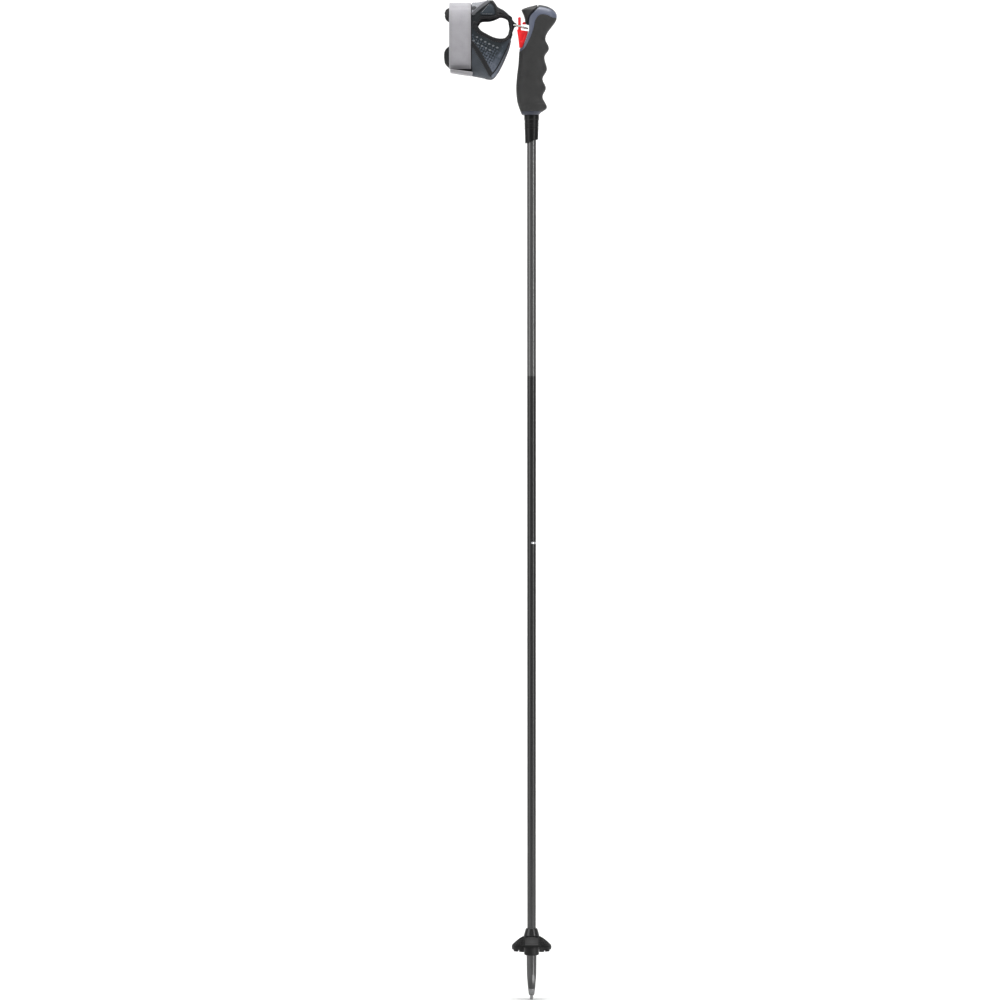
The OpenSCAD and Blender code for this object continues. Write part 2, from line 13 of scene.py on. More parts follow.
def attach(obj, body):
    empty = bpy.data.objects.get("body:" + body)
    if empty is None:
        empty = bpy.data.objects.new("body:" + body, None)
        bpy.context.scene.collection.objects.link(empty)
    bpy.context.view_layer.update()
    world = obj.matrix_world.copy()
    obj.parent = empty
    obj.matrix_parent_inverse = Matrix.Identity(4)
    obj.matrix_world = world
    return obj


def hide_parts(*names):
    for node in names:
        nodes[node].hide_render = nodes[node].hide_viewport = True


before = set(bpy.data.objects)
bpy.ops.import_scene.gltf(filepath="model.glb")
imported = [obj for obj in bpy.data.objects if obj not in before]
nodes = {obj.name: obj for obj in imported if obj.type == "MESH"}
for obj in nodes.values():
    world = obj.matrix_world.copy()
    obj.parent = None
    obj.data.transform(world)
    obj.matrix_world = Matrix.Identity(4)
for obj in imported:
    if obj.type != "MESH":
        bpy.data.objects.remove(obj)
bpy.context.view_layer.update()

MM = 0.001
scene = bpy.context.scene


# ---- numbers and curves ---------------------------------------------------------------------

def mix(a, b, t):
    return a + (b - a) * t


def clamp(t, low=0.0, high=1.0):
    return min(high, max(low, t))


def ease(t):
    return (1 - math.cos(math.pi * clamp(t))) / 2


def signed_pow(v, p):
    return math.copysign(abs(v) ** p, v)


def steps(a, b, n):
    """n + 1 numbers from a to b."""
    return [mix(a, b, i / n) for i in range(n + 1)]


def swing(z, keys):
    """Height of a curve that swings smoothly from one high or low point to the next."""
    for (z0, x0), (z1, x1) in zip(keys, keys[1:]):
        if z <= z1:
            return mix(x0, x1, ease((z - z0) / (z1 - z0)))
    return keys[-1][1]


def flowing(z, keys):
    """A smooth curve through all the keys, with each one's slope taken from its neighbours."""
    last = len(keys) - 1
    i = next((k for k in range(last) if z <= keys[k + 1][0]), last - 1)
    (z0, x0), (z1, x1) = keys[i], keys[i + 1]
    slope = [
        (keys[min(last, k + 1)][1] - keys[max(0, k - 1)][1])
        / (keys[min(last, k + 1)][0] - keys[max(0, k - 1)][0])
        for k in (i, i + 1)
    ]
    span, t = z1 - z0, clamp((z - z0) / (z1 - z0))
    return (
        (2 * t**3 - 3 * t**2 + 1) * x0 + (t**3 - 2 * t**2 + t) * span * slope[0]
        + (3 * t**2 - 2 * t**3) * x1 + (t**3 - t**2) * span * slope[1]
    )


def spline_point(p, u, closed=False):
    """The point at u, counted in points, of a Catmull-Rom curve through p."""
    n = len(p)
    i = int(math.floor(u)) if closed else min(n - 2, max(0, int(math.floor(u))))
    t = u - i
    pick = (lambda k: p[k % n]) if closed else (lambda k: p[min(n - 1, max(0, k))])
    a, b, c, d = (Vector(pick(i + k)) for k in (-1, 0, 1, 2))
    return 0.5 * (
        2 * b + (c - a) * t + (2 * a - 5 * b + 4 * c - d) * t * t + (3 * b - a - 3 * c + d) * t**3
    )


def curve(p, n, closed=False):
    """A smooth line through p, with n steps between neighbours."""
    count = (len(p) if closed else len(p) - 1) * n
    line = [spline_point(p, i / n, closed) for i in range(count)]
    return line if closed else line + [Vector(p[-1])]


def even(line, gap):
    """Points along a line at an even spacing close to gap, both ends kept."""
    line = [Vector(p) for p in line]
    along = [0.0]
    for a, b in zip(line, line[1:]):
        along.append(along[-1] + (b - a).length)
    count = max(1, round(along[-1] / gap))
    made, k = [], 0
    for i in range(count + 1):
        want = along[-1] * i / count
        while k < len(line) - 2 and along[k + 1] < want:
            k += 1
        share = (want - along[k]) / max(1e-9, along[k + 1] - along[k])
        made.append(line[k].lerp(line[k + 1], clamp(share)))
    return made


def turns(n):
    """n angles, evenly spaced round a full turn."""
    return [2 * math.pi * k / n for k in range(n)]


# ---- meshes ---------------------------------------------------------------------------------

def make_object(name, verts, faces):
    """An object from points in millimetres, with merged points and outward faces."""
    mesh = bpy.data.meshes.new(name)
    mesh.from_pydata([Vector(v) * MM for v in verts], [], faces)
    made = bmesh.new()
    made.from_mesh(mesh)
    bmesh.ops.remove_doubles(made, verts=made.verts, dist=1e-6)
    bmesh.ops.recalc_face_normals(made, faces=made.faces)
    made.to_mesh(mesh)
    made.free()
    obj = bpy.data.objects.new(name, mesh)
    scene.collection.objects.link(obj)
    return obj


def skin(rings, closed=False):
    """Vertices and faces over rings of points; the rings run in order and have the same count."""
    n, m = len(rings[0]), len(rings)
    faces = [
        (i * n + k, i * n + (k + 1) % n, (i + 1) % m * n + (k + 1) % n, (i + 1) % m * n + k)
        for i in range(m if closed else m - 1)
        for k in range(n)
    ]
    if not closed:
        faces += [tuple(range(n)), tuple(range((m - 1) * n, m * n))]
    return [p for ring in rings for p in ring], faces


def joined(parts):
    """Several (verts, faces) as one."""
    verts, faces = [], []
    for part_verts, part_faces in parts:
        shift = len(verts)
        verts += part_verts
        faces += [tuple(i + shift for i in f) for f in part_faces]
    return verts, faces


def side_prism(outline, low_y, high_y):
    """A prism whose outline is drawn in the x, z plane."""
    return skin([[(x, y, z) for x, z in outline] for y in (low_y, high_y)])


def cross_cylinder(centre, r, half_w, n=48):
    """A cylinder that lies along y."""
    outline = [(centre[0] + r * math.cos(a), centre[1] + r * math.sin(a)) for a in turns(n)]
    return side_prism(outline, -half_w, half_w)


def upright(r, z0, z1):
    """A cylinder that stands on the shaft's axis."""
    return skin([[(r * math.cos(a), r * math.sin(a), z) for a in turns(64)] for z in (z0, z1)])


def revolve(profile, n=96, x=0):
    """A closed profile of (r, z) turned round the upright axis at x."""
    return skin(
        [[(x + r * math.cos(a), r * math.sin(a), z) for r, z in profile] for a in turns(n)], closed=True)


def rounded(profile, radius, n=3):
    """A closed outline with its corners rounded off."""
    made, count = [], len(profile)
    for i in range(count):
        a, b, c = (Vector(profile[(i + k) % count]) for k in (-1, 0, 1))
        reach = min(radius, 0.45 * (a - b).length, 0.45 * (c - b).length)
        start, end = b + (a - b).normalized() * reach, b + (c - b).normalized() * reach
        for t in steps(0, 1, n):
            made.append(tuple(start.lerp(b, t).lerp(b.lerp(end, t), t)))
    return made


def settle(obj):
    """Applies the object's modifiers to its mesh."""
    shape = obj.evaluated_get(bpy.context.evaluated_depsgraph_get())
    mesh = bpy.data.meshes.new_from_object(shape)
    obj.modifiers.clear()
    obj.data = mesh


def combine(obj, tool, operation):
    """Combines the object with another closed object, which is used up."""
    step = obj.modifiers.new("cut", "BOOLEAN")
    step.operation, step.solver, step.object = operation, "MANIFOLD", tool
    settle(obj)
    bpy.data.objects.remove(tool)


def cut(obj, shape, operation="DIFFERENCE"):
    """Combines the object with a closed shape, given as (verts, faces)."""
    combine(obj, make_object("tool", *shape), operation)


def bevelled(obj, width, segments, angle):
    """Rounds off the edges that are sharper than the angle."""
    step = obj.modifiers.new("edges", "BEVEL")
    step.width, step.segments = width * MM, segments
    step.limit_method, step.angle_limit = "ANGLE", math.radians(angle)
    settle(obj)


def moulded(obj, voxel, rounds):
    """Rebuilds a carved shape as one even skin with softly rounded edges."""
    step = obj.modifiers.new("skin", "REMESH")
    step.mode, step.voxel_size = "VOXEL", voxel * MM
    step = obj.modifiers.new("soft", "SMOOTH")
    step.factor, step.iterations = 0.5, rounds
    settle(obj)


def shift_points(obj, move):
    """Moves every vertex by move(point, normal), all in millimetres."""
    mesh = obj.data
    normals = [n.vector.copy() for n in mesh.vertex_normals]
    for v, normal in zip(mesh.vertices, normals):
        v.co += move(v.co / MM, normal) * MM
    mesh.update()


def finish_piece(obj, body, materials, replaces, sharp=40):
    """Gives the object its materials, its shading and its place in the part."""
    obj.data.materials.clear()
    for m in materials if isinstance(materials, (list, tuple)) else [materials]:
        obj.data.materials.append(m)
    obj.data.shade_smooth()
    obj.data.set_sharp_from_angle(angle=math.radians(sharp))
    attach(obj, body)
    if replaces:
        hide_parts(*replaces)
    return obj


def piece(name, shape, body, materials, replaces, sharp=40):
    return finish_piece(make_object(name, *shape), body, materials, replaces, sharp)


def cloth_uv(obj, flat):
    """Writes flat[vertex index] = (u, v) in millimetres to the layer that the weaves read."""
    layer = obj.data.uv_layers.new(name="cloth")
    for loop in obj.data.loops:
        layer.data[loop.index].uv = flat[loop.vertex_index]


# ---- shader helpers -------------------------------------------------------------------------

class Shader:
    """A material on one Principled shader, with short calls for the nodes that feed it."""

    def __init__(self, name, rough=0.5, metal=0.0, **sockets):
        self.material = bpy.data.materials.new(name)
        self.material.use_nodes = True
        self.tree = self.material.node_tree
        self.bsdf = self.tree.nodes["Principled BSDF"]
        self.bsdf.inputs["Roughness"].default_value = rough
        self.bsdf.inputs["Metallic"].default_value = metal
        for socket, value in sockets.items():
            self.bsdf.inputs[socket.replace("_", " ")].default_value = value
        self.place = self.add("ShaderNodeTexCoord").outputs["Object"]

    def add(self, kind, **settings):
        made = self.tree.nodes.new(kind)
        for name, value in settings.items():
            setattr(made, name, value)
        return made

    def feed(self, socket, value):
        if isinstance(value, bpy.types.NodeSocket):
            self.tree.links.new(value, socket)
        else:
            socket.default_value = value

    def math(self, operation, *values, clamped=False):
        made = self.add("ShaderNodeMath", operation=operation, use_clamp=clamped)
        for socket, value in zip(made.inputs, values):
            self.feed(socket, value)
        return made.outputs[0]

    def along(self, axis):
        """One coordinate in millimetres."""
        parts = self.add("ShaderNodeSeparateXYZ")
        self.feed(parts.inputs[0], self.place)
        return self.math("MULTIPLY", parts.outputs[axis], 1 / MM)

    def cloth(self):
        """The two coordinates of the flat cloth, in millimetres."""
        parts = self.add("ShaderNodeSeparateXYZ")
        self.feed(parts.inputs[0], self.add("ShaderNodeUVMap", uv_map="cloth").outputs[0])
        return parts.outputs[0], parts.outputs[1]

    def stretched(self, scale):
        made = self.add("ShaderNodeMapping")
        self.feed(made.inputs["Vector"], self.place)
        made.inputs["Scale"].default_value = scale
        return made.outputs[0]

    def noise(self, size, detail=3.0, stretch=None):
        """Cloudy values from 0 to 1, size millimetres across."""
        made = self.add("ShaderNodeTexNoise")
        self.feed(made.inputs["Vector"], self.stretched(stretch) if stretch else self.place)
        made.inputs["Scale"].default_value = 1 / (size * MM)
        made.inputs["Detail"].default_value = detail
        return made.outputs["Fac"]

    def cells(self, size):
        """Distance to the nearest of the scattered points, size millimetres apart."""
        made = self.add("ShaderNodeTexVoronoi")
        self.feed(made.inputs["Vector"], self.place)
        made.inputs["Scale"].default_value = 1 / (size * MM)
        return made.outputs["Distance"]

    def ramp(self, value, *stops):
        """Blends (place, colour) stops; a colour is three numbers or one grey."""
        made = self.add("ShaderNodeValToRGB")
        self.feed(made.inputs[0], value)
        line = made.color_ramp.elements
        while len(line) < len(stops):
            line.new(0.5)
        for element, (at, colour) in zip(line, stops):
            element.position = at
            rgb = colour if isinstance(colour, (tuple, list)) else (colour,) * 3
            element.color = (*rgb, 1)
        return made.outputs[0]

    def blend(self, amount, a, b):
        """Colour a where amount is 0 and colour b where it is 1."""
        made = self.add("ShaderNodeMix", data_type="RGBA")
        self.feed(made.inputs[0], amount)
        for socket, value in ((made.inputs[6], a), (made.inputs[7], b)):
            self.feed(socket, (*value, 1) if isinstance(value, tuple) else value)
        return made.outputs[2]

    def step(self, value, edge, soft):
        """0 below edge, 1 above it, over a soft border."""
        return self.math("DIVIDE", self.math("SUBTRACT", value, edge - soft / 2), soft, clamped=True)

    def wave(self, value, pitch):
        """A smooth ripple from 0 to 1 with the given pitch."""
        turn = self.math("SINE", self.math("MULTIPLY", value, 2 * math.pi / pitch))
        return self.math("MULTIPLY_ADD", turn, 0.5, 0.5)

    def weave(self, u, v, pitch_u, pitch_v):
        """A plain weave: raised where one thread passes over the other."""
        high = [self.wave(u, pitch_u), self.wave(v, pitch_v)]
        low = [self.math("SUBTRACT", 1, value) for value in high]
        return self.math("ADD", self.math("MULTIPLY", *high), self.math("MULTIPLY", *low))

    def bump(self, height, depth, strength=1.0):
        """Adds a relief of depth millimetres to what is there already."""
        made = self.add("ShaderNodeBump")
        made.inputs["Strength"].default_value = strength
        made.inputs["Distance"].default_value = depth * MM
        self.feed(made.inputs["Height"], height)
        before = self.bsdf.inputs["Normal"].links
        if before:
            self.tree.links.new(before[0].from_socket, made.inputs["Normal"])
        self.tree.links.new(made.outputs[0], self.bsdf.inputs["Normal"])

    def colour(self, value):
        self.feed(self.bsdf.inputs["Base Color"], value)

    def rough(self, value, low, high):
        made = self.add("ShaderNodeMapRange")
        self.feed(made.inputs["Value"], value)
        made.inputs["To Min"].default_value = low
        made.inputs["To Max"].default_value = high
        self.feed(self.bsdf.inputs["Roughness"], made.outputs["Result"])


# ---- materials ------------------------------------------------------------------------------

def moulded_plastic(name, dark, light, rough, grain=0.25, depth=0.02, scuffs=1.0, **sockets):
    """Injection-moulded plastic or rubber: cloudy colour, a fine spark-eroded grain, soft scuffs."""
    s = Shader(name, rough, **sockets)
    cloud = s.noise(14, 4)
    s.colour(s.ramp(cloud, (0.3, dark), (0.7, light)))
    s.rough(s.noise(3, 5), rough - 0.07 * scuffs, rough + 0.08 * scuffs)
    s.bump(s.noise(grain, 2), depth)
    s.bump(s.noise(6, 2), depth * 2, 0.3 * scuffs)
    return s.material


def shaft_paint():
    """Satin anthracite above the colour change, near-black below it, and one small silver dash."""
    s = Shader("shaft_paint", 0.3, 0.75, Coat_Weight=0.35, Coat_Roughness=0.12)
    change_z, dash_z, dash_half = 752.4, 551, 1.1
    z, x, y = s.along(2), s.along(0), s.along(1)
    flake = s.noise(0.12, 2)
    upper = s.ramp(flake, (0.3, 0.1), (0.7, 0.135))
    lower = s.ramp(flake, (0.3, 0.028), (0.7, 0.046))
    body = s.blend(s.step(z, change_z, 0.3), lower, upper)
    level = s.math("LESS_THAN", s.math("ABSOLUTE", s.math("SUBTRACT", z, dash_z)), dash_half)
    front, right = s.math("LESS_THAN", y, -1.0), s.math("GREATER_THAN", x, -0.6)
    dash = s.math("MULTIPLY", level, s.math("MULTIPLY", front, right))
    s.colour(s.blend(dash, body, (0.75, 0.76, 0.78)))
    s.rough(s.noise(9, 4, (1, 1, 0.15)), 0.2, 0.27)
    s.bump(s.noise(0.5, 3, (1, 1, 0.04)), 0.002)
    return s.material


def turned_metal(name, dark, light, rough):
    """Turned steel or hard metal, with fine rings round its axis."""
    s = Shader(name, rough, 1.0)
    s.colour(s.ramp(s.noise(1.2, 4), (0.3, dark), (0.7, light)))
    s.rough(s.noise(0.8, 4), rough - 0.06, rough + 0.1)
    s.bump(s.wave(s.along(2), 0.22), 0.004)
    return s.material


def spring_wire():
    s = Shader("spring_wire", 0.28, 1.0)
    s.colour(s.ramp(s.noise(0.7, 3), (0.3, 0.38), (0.7, 0.55)))
    s.bump(s.noise(0.1, 2), 0.003)
    return s.material


def woven(name, dark, light, pitch, depth=0.12, sheen=0.1):
    """A close weave or knit, that reads its thread lines from the flat cloth."""
    rough, wear = 0.85, 0.25
    s = Shader(name, rough, Sheen_Weight=sheen, Sheen_Roughness=0.5, Specular_IOR_Level=0.3)
    thread = s.weave(*s.cloth(), *pitch)
    body = s.ramp(thread, (0.05, dark), (0.8, light))
    faded = s.ramp(s.noise(7, 5), (0.35, dark), (0.75, light))
    s.colour(s.blend(wear, body, faded))
    s.rough(s.noise(2, 3), rough - 0.1, min(1, rough + 0.1))
    s.bump(thread, depth)
    s.bump(s.noise(0.4, 3), depth * 0.5, 0.5)
    return s.material


def ribbed_webbing(name, dark, light, rib):
    """Flat webbing: ribs across it, split by the warp threads that run along it."""
    s = Shader(name, 0.78, Sheen_Weight=0.08, Sheen_Roughness=0.45, Specular_IOR_Level=0.35)
    u, v = s.cloth()
    ribs = s.wave(v, rib)
    warp = s.weave(u, v, rib * 1.5, rib * 2)
    relief = s.math("MULTIPLY_ADD", warp, 0.5, s.math("MULTIPLY", ribs, 0.6))
    body = s.ramp(relief, (0.1, dark), (0.9, light))
    s.colour(s.blend(s.ramp(s.noise(9, 5), (0.4, 0.0), (0.8, 0.45)), body, dark))
    s.bump(relief, 0.16)
    s.bump(s.noise(0.25, 3), 0.05, 0.6)
    return s.material


def fleece(name, dark, light):
    """The pile of a hook-and-loop patch."""
    s = Shader(name, 0.95, Sheen_Weight=0.5, Sheen_Roughness=0.6)
    s.colour(s.ramp(s.cells(0.7), (0.1, dark), (0.8, light)))
    s.bump(s.cells(0.5), 0.3)
    return s.material


def printed_fabric():
    """Dark stretch fabric with a pale dot print that grows together away from the thumb hole."""
    s = Shader("lower_print", 0.8, Sheen_Weight=0.1, Sheen_Roughness=0.5, Specular_IOR_Level=0.35)
    x, z = s.along(0), s.along(2)
    lean, dot, grey_from = math.radians(27), 3.1, 7.5
    hole_x, hole_z = -48, 1160
    edge_x, edge_z = 27.2, 1153.5
    side, down_share = 0.868, 0.496

    def ahead(cos_x, sin_z):
        return s.math("MULTIPLY_ADD", x, cos_x, s.math("MULTIPLY", z, sin_z))

    across, down = ahead(math.cos(lean), -math.sin(lean)), ahead(-math.sin(lean), -math.cos(lean))
    cell = [s.math("SUBTRACT", s.math("FRACT", s.math("DIVIDE", v, dot)), 0.5) for v in (across, down)]
    away = s.math("SQRT", s.math("ADD", *(s.math("MULTIPLY", c, c) for c in cell)))
    depth = s.math("SUBTRACT", down, -hole_x * math.sin(lean) - hole_z * math.cos(lean))
    grown = s.math("MULTIPLY_ADD", depth, 0.013, 0.13)
    wobble = s.math("MULTIPLY_ADD", s.noise(2.0, 4), 0.9, -0.45)
    ink = s.step(s.math("ADD", s.math("SUBTRACT", grown, away), wobble), 0.0, 0.12)
    inside = s.step(depth, grey_from, 3)
    from_edge = s.math(
        "MULTIPLY_ADD", x, -side,
        s.math("MULTIPLY_ADD", z, down_share, -side * edge_x - down_share * edge_z))
    rubbed = s.math("MULTIPLY_ADD", s.noise(1.6, 4), 7, -3.5)
    border = s.math("SUBTRACT", 1, s.step(s.math("ADD", from_edge, rubbed), 5.5, 4))
    shown = s.math("MAXIMUM", s.math("MULTIPLY", ink, inside), border)
    thread = s.weave(*s.cloth(), 0.7, 0.7)
    ground = s.ramp(thread, (0.1, (0.004, 0.007, 0.009)), (0.9, (0.016, 0.024, 0.029)))
    fade = s.math("ADD", s.math("MULTIPLY", s.noise(4, 4), 0.6), s.math("MULTIPLY", depth, 0.009))
    pale = s.ramp(fade, (0.35, (0.03, 0.042, 0.055)), (0.8, (0.17, 0.19, 0.245)))
    s.colour(s.blend(shown, ground, pale))
    s.bump(thread, 0.1)
    s.bump(s.noise(1.4, 3), 0.12, 0.5)
    return s.material


def open_mesh(name, thread, gap, pitch, port=()):
    """Open mesh: a thread net over a backing, with an optional dark port (axis, middle, half-width)."""
    s = Shader(name, 0.75, Sheen_Weight=0.08, Sheen_Roughness=0.5)
    u, v = s.cloth()
    slant = [s.math(operation, u, v) for operation in ("ADD", "SUBTRACT")]
    net = s.math("MAXIMUM", *(s.wave(line, pitch) for line in slant))
    body = s.ramp(net, (0.45, gap), (0.8, thread))
    body = s.blend(s.ramp(s.noise(6, 4), (0.4, 0.0), (0.7, 0.35)), body, gap)
    if port:
        parts = [s.math("DIVIDE", s.math("SUBTRACT", s.along(k), at), half) for k, at, half in port]
        round_off = s.math("ADD", *(s.math("MULTIPLY", part, part) for part in parts))
        body = s.blend(s.step(round_off, 1, 0.6), (0.02, 0.021, 0.024), body)
    s.colour(body)
    s.bump(net, 0.3)
    return s.material


def yarn(name, dark, light):
    """Braid or sewing yarn, with fine fibres."""
    s = Shader(name, 0.7, Sheen_Weight=0.3, Sheen_Roughness=0.5, Specular_IOR_Level=0.35)
    s.colour(s.ramp(s.noise(0.5, 4), (0.3, dark), (0.7, light)))
    s.bump(s.noise(0.12, 3), 0.05)
    return s.material


grip_rubber = moulded_plastic(
    "grip_rubber", 0.024, 0.032, 0.62, 0.35, 0.05, Specular_IOR_Level=0.35)
pad_rubber = moulded_plastic(
    "pad_rubber", (0.011, 0.013, 0.018), (0.016, 0.018, 0.024), 0.5, 0.3, 0.04)
sleeve_rubber = moulded_plastic("sleeve_rubber", 0.003, 0.005, 0.3, 0.6, 0.015, 0.3, Specular_IOR_Level=0.3)
band_plastic = moulded_plastic(
    "band_plastic", (0.082, 0.095, 0.136), (0.105, 0.119, 0.167), 0.36, 0.3, 0.015)
collar_plastic = moulded_plastic(
    "collar_plastic", (0.021, 0.025, 0.04), (0.03, 0.034, 0.052), 0.4, 0.3, 0.015)
button_plastic = moulded_plastic("button_plastic", 0.019, 0.026, 0.5, 0.4, 0.06, Specular_IOR_Level=0.35)
# Near-black plastic for the skirt behind the button: painted shade in the gap between the button and the pad.
skirt_painted_shade = moulded_plastic("skirt_painted_shade", (0.003, 0.006, 0.011), (0.006, 0.009, 0.016), 0.55)
red_plastic = moulded_plastic(
    "red_plastic", (0.93, 0.009, 0.014), (1.0, 0.016, 0.02), 0.36, 0.3, 0.012, 0.5, Coat_Weight=0.1)
ferrule_plastic = moulded_plastic(
    "ferrule_plastic", 0.008, 0.01, 0.17, 0.5, 0.004, 0.25, Specular_IOR_Level=0.6)
basket_plastic = moulded_plastic(
    "basket_plastic", 0.002, 0.004, 0.48, 0.35, 0.03, Specular_IOR_Level=0.14)
# The sunk panels have a smoother finish, and a lighter colour than the rest of the same plastic, which is
# painted light.
basket_panel_painted_light = moulded_plastic(
    "basket_panel_painted_light", 0.007, 0.01, 0.46, 0.3, 0.02, 0.5, Specular_IOR_Level=0.2)
plug_plastic = moulded_plastic("plug_plastic", 0.015, 0.022, 0.5)
shaft_finish = shaft_paint()
tip_steel = turned_metal("tip_steel", 0.15, 0.22, 0.24)
tip_hard_metal = turned_metal("tip_hard_metal", 0.223, 0.31, 0.32)
pin_steel = turned_metal("pin_steel", 0.45, 0.6, 0.25)
spring_steel = spring_wire()
cuff_cloth = woven("cuff_cloth", (0.009, 0.009, 0.009), (0.034, 0.034, 0.036), (1.4, 1.4), 0.2)
upper_cloth = woven("upper_cloth", (0.003, 0.004, 0.005), (0.013, 0.016, 0.019), (0.9, 0.9), sheen=0.03)
pocket_cloth = woven("pocket_cloth", (0.012, 0.018, 0.024), (0.033, 0.045, 0.058), (1.2, 0.8))
lower_cloth = printed_fabric()
lower_mesh = open_mesh("lower_mesh", (0.063, 0.075, 0.093), (0.012, 0.016, 0.02), 2.2)
vent_mesh = open_mesh(
    "vent_mesh", (0.306, 0.315, 0.34), (0.111, 0.115, 0.128), 1.8,
    port=((0, -69.4, 3.2), (2, 1194.6, 2.8)))
webbing = ribbed_webbing("webbing", (0.249, 0.245, 0.262), (0.43, 0.421, 0.447), 0.9)
keeper_webbing = ribbed_webbing("keeper_webbing", (0.216, 0.212, 0.224), (0.368, 0.36, 0.38), 0.9)
binding_tape = ribbed_webbing("binding_tape", (0.002, 0.002, 0.003), (0.01, 0.01, 0.012), 0.8)
grey_tape = ribbed_webbing("grey_tape", (0.004, 0.004, 0.005), (0.017, 0.018, 0.021), 0.8)
seam_grey = ribbed_webbing("seam_grey", (0.038, 0.039, 0.044), (0.105, 0.109, 0.116), 0.8)
pale_piping = ribbed_webbing("pale_piping", (0.136, 0.136, 0.153), (0.272, 0.272, 0.297), 0.7)
ridge_piping = ribbed_webbing("ridge_piping", (0.044, 0.042, 0.053), (0.128, 0.124, 0.144), 0.7)
black_yarn = yarn("black_yarn", 0.008, 0.02)
dark_stitch = yarn("dark_stitch", 0.028, 0.06)
pale_yarn = yarn("pale_yarn", (0.62, 0.62, 0.58), (0.82, 0.82, 0.77))
grey_stitch = yarn("grey_stitch", 0.216, 0.336)
green_yarn = yarn("green_yarn", (0.01, 0.04, 0.03), (0.02, 0.09, 0.06))
perforated_pale = yarn("perforated_pale", (0.096, 0.108, 0.12), (0.192, 0.208, 0.224))
loop_pile = fleece("loop_pile", 0.02, 0.06)
hook_pile = fleece("hook_pile", 0.05, 0.11)


# ---- camera, floor and light ----------------------------------------------------------------

def place_camera():
    """A long lens, level with the middle of the pole, that frames the part's whole height."""
    lens, sensor, picture = 200, 36, 1206.8
    camera = bpy.data.objects.new("camera", bpy.data.cameras.new("camera"))
    camera.data.lens = lens
    camera.data.sensor_width = sensor
    camera.data.clip_end = 60
    camera.location = Vector((-38.1, -picture * lens / sensor, 602.8)) * MM
    camera.rotation_euler = (math.radians(90), 0, 0)
    scene.collection.objects.link(camera)
    scene.camera = camera


def area_light(name, place, rotation, size, power):
    """A rectangular lamp that the camera doesn't see."""
    lamp = bpy.data.lights.new(name, "AREA")
    lamp.shape, lamp.energy = "RECTANGLE", power
    lamp.size, lamp.size_y = size
    obj = bpy.data.objects.new(name, lamp)
    obj.location, obj.rotation_euler = place, rotation
    obj.visible_camera = False
    scene.collection.objects.link(obj)


def soft_light(name, place, aim, size, power):
    turn = (Vector(aim) - Vector(place)).to_track_quat("-Z", "Y").to_euler()
    area_light(name, place, turn, size, power)


def floor_strip(name, azimuth, near, far, width, power):
    """A low light that lies on the floor in front of the pole, for the round parts near the foot."""
    turn, middle = math.radians(azimuth), (near + far) / 2
    place = (middle * math.sin(turn), -middle * math.cos(turn), 0.003)
    area_light(name, place, (math.pi, 0, turn), (width, far - near), power)


def light_studio():
    """A bright even surround, with two upright strips that draw lines down the round parts."""
    world = bpy.data.worlds.new("studio")
    world.use_nodes = True
    world.node_tree.nodes["Background"].inputs["Color"].default_value = (1, 1, 1, 1)
    world.node_tree.nodes["Background"].inputs["Strength"].default_value = 0.32
    scene.world = world
    scene.view_settings.view_transform = "Standard"
    soft_light("strip_right", (1.65, -1.55, 0.8), (0, 0, 0.6), (0.42, 2.8), 18)
    soft_light("strip_left", (-2.0, -1.3, 0.8), (0, 0, 0.6), (1.6, 2.8), 21)
    floor_strip("floor_strip_right", 47, 0.06, 0.9, 0.1, 1.6)
    floor_strip("floor_strip_left", -58, 0.08, 0.9, 0.4, 0.8)
    soft_light("overhead", (0.2, -0.6, 3.2), (0, 0, 1.0), (2.0, 2.0), 16)
    soft_light("backdrop_wash", (0.0, -0.2, 4.4), (0, 2.4, 0.6), (4.0, 2.0), 190)


def lay_floor():
    """A pale floor that curves up into a plain backdrop, which is open when seen from outside."""
    s = Shader("studio_floor", 0.9)
    s.colour(s.ramp(s.noise(400, 2), (0.3, 0.86), (0.7, 0.9)))
    sides = s.add("ShaderNodeMixShader")
    s.feed(sides.inputs[0], s.add("ShaderNodeNewGeometry").outputs["Backfacing"])
    s.feed(sides.inputs[1], s.bsdf.outputs[0])
    s.feed(sides.inputs[2], s.add("ShaderNodeBsdfTransparent").outputs[0])
    s.feed(s.tree.nodes["Material Output"].inputs["Surface"], sides.outputs[0])
    half, back, bend, high = 9000, 2600, 1500, 6000
    outline = [(-half, 0)]
    outline += [
        (back - bend + bend * math.sin(a), bend - bend * math.cos(a))
        for a in steps(0, math.pi / 2, 24)
    ]
    outline.append((back, high))
    verts = [(x, y, z) for y, z in outline for x in (-half, half)]
    faces = [(2 * i, 2 * i + 1, 2 * i + 3, 2 * i + 2) for i in range(len(outline) - 1)]
    floor = make_object("studio_floor", verts, faces)
    if floor.data.polygons[0].normal.z < 0:
        floor.data.flip_normals()
    floor.data.shade_smooth()
    floor.data.materials.append(s.material)


place_camera()
light_studio()
lay_floor()


# ---- shaft, ferrule, tip and basket ---------------------------------------------------------

SHAFT_TOP_R, SHAFT_LOW_R, SHAFT_WALL = 5.6, 5.3, 0.9
SHAFT_LOW_Z, TAPER_TOP_Z, SHAFT_TOP_Z = 44, 1028.9, 1140
FERRULE_TOP, HUB_LOW, SEAT_R, FERRULE_COLLAR = 86.3, 53.7, 6.15, 77.2
AXIS = 0.01


def make_shaft():
    """The tapered tube."""
    outer = [
        (SHAFT_LOW_R, SHAFT_LOW_Z), (SHAFT_LOW_R, FERRULE_TOP + 4),
        (SHAFT_TOP_R, TAPER_TOP_Z), (SHAFT_TOP_R, SHAFT_TOP_Z)
    ]
    profile = outer + [(r - SHAFT_WALL, z) for r, z in reversed(outer)]
    piece("shaft_painted", revolve(profile, 128), "pole", shaft_finish, ["shaft_tube"], 30)


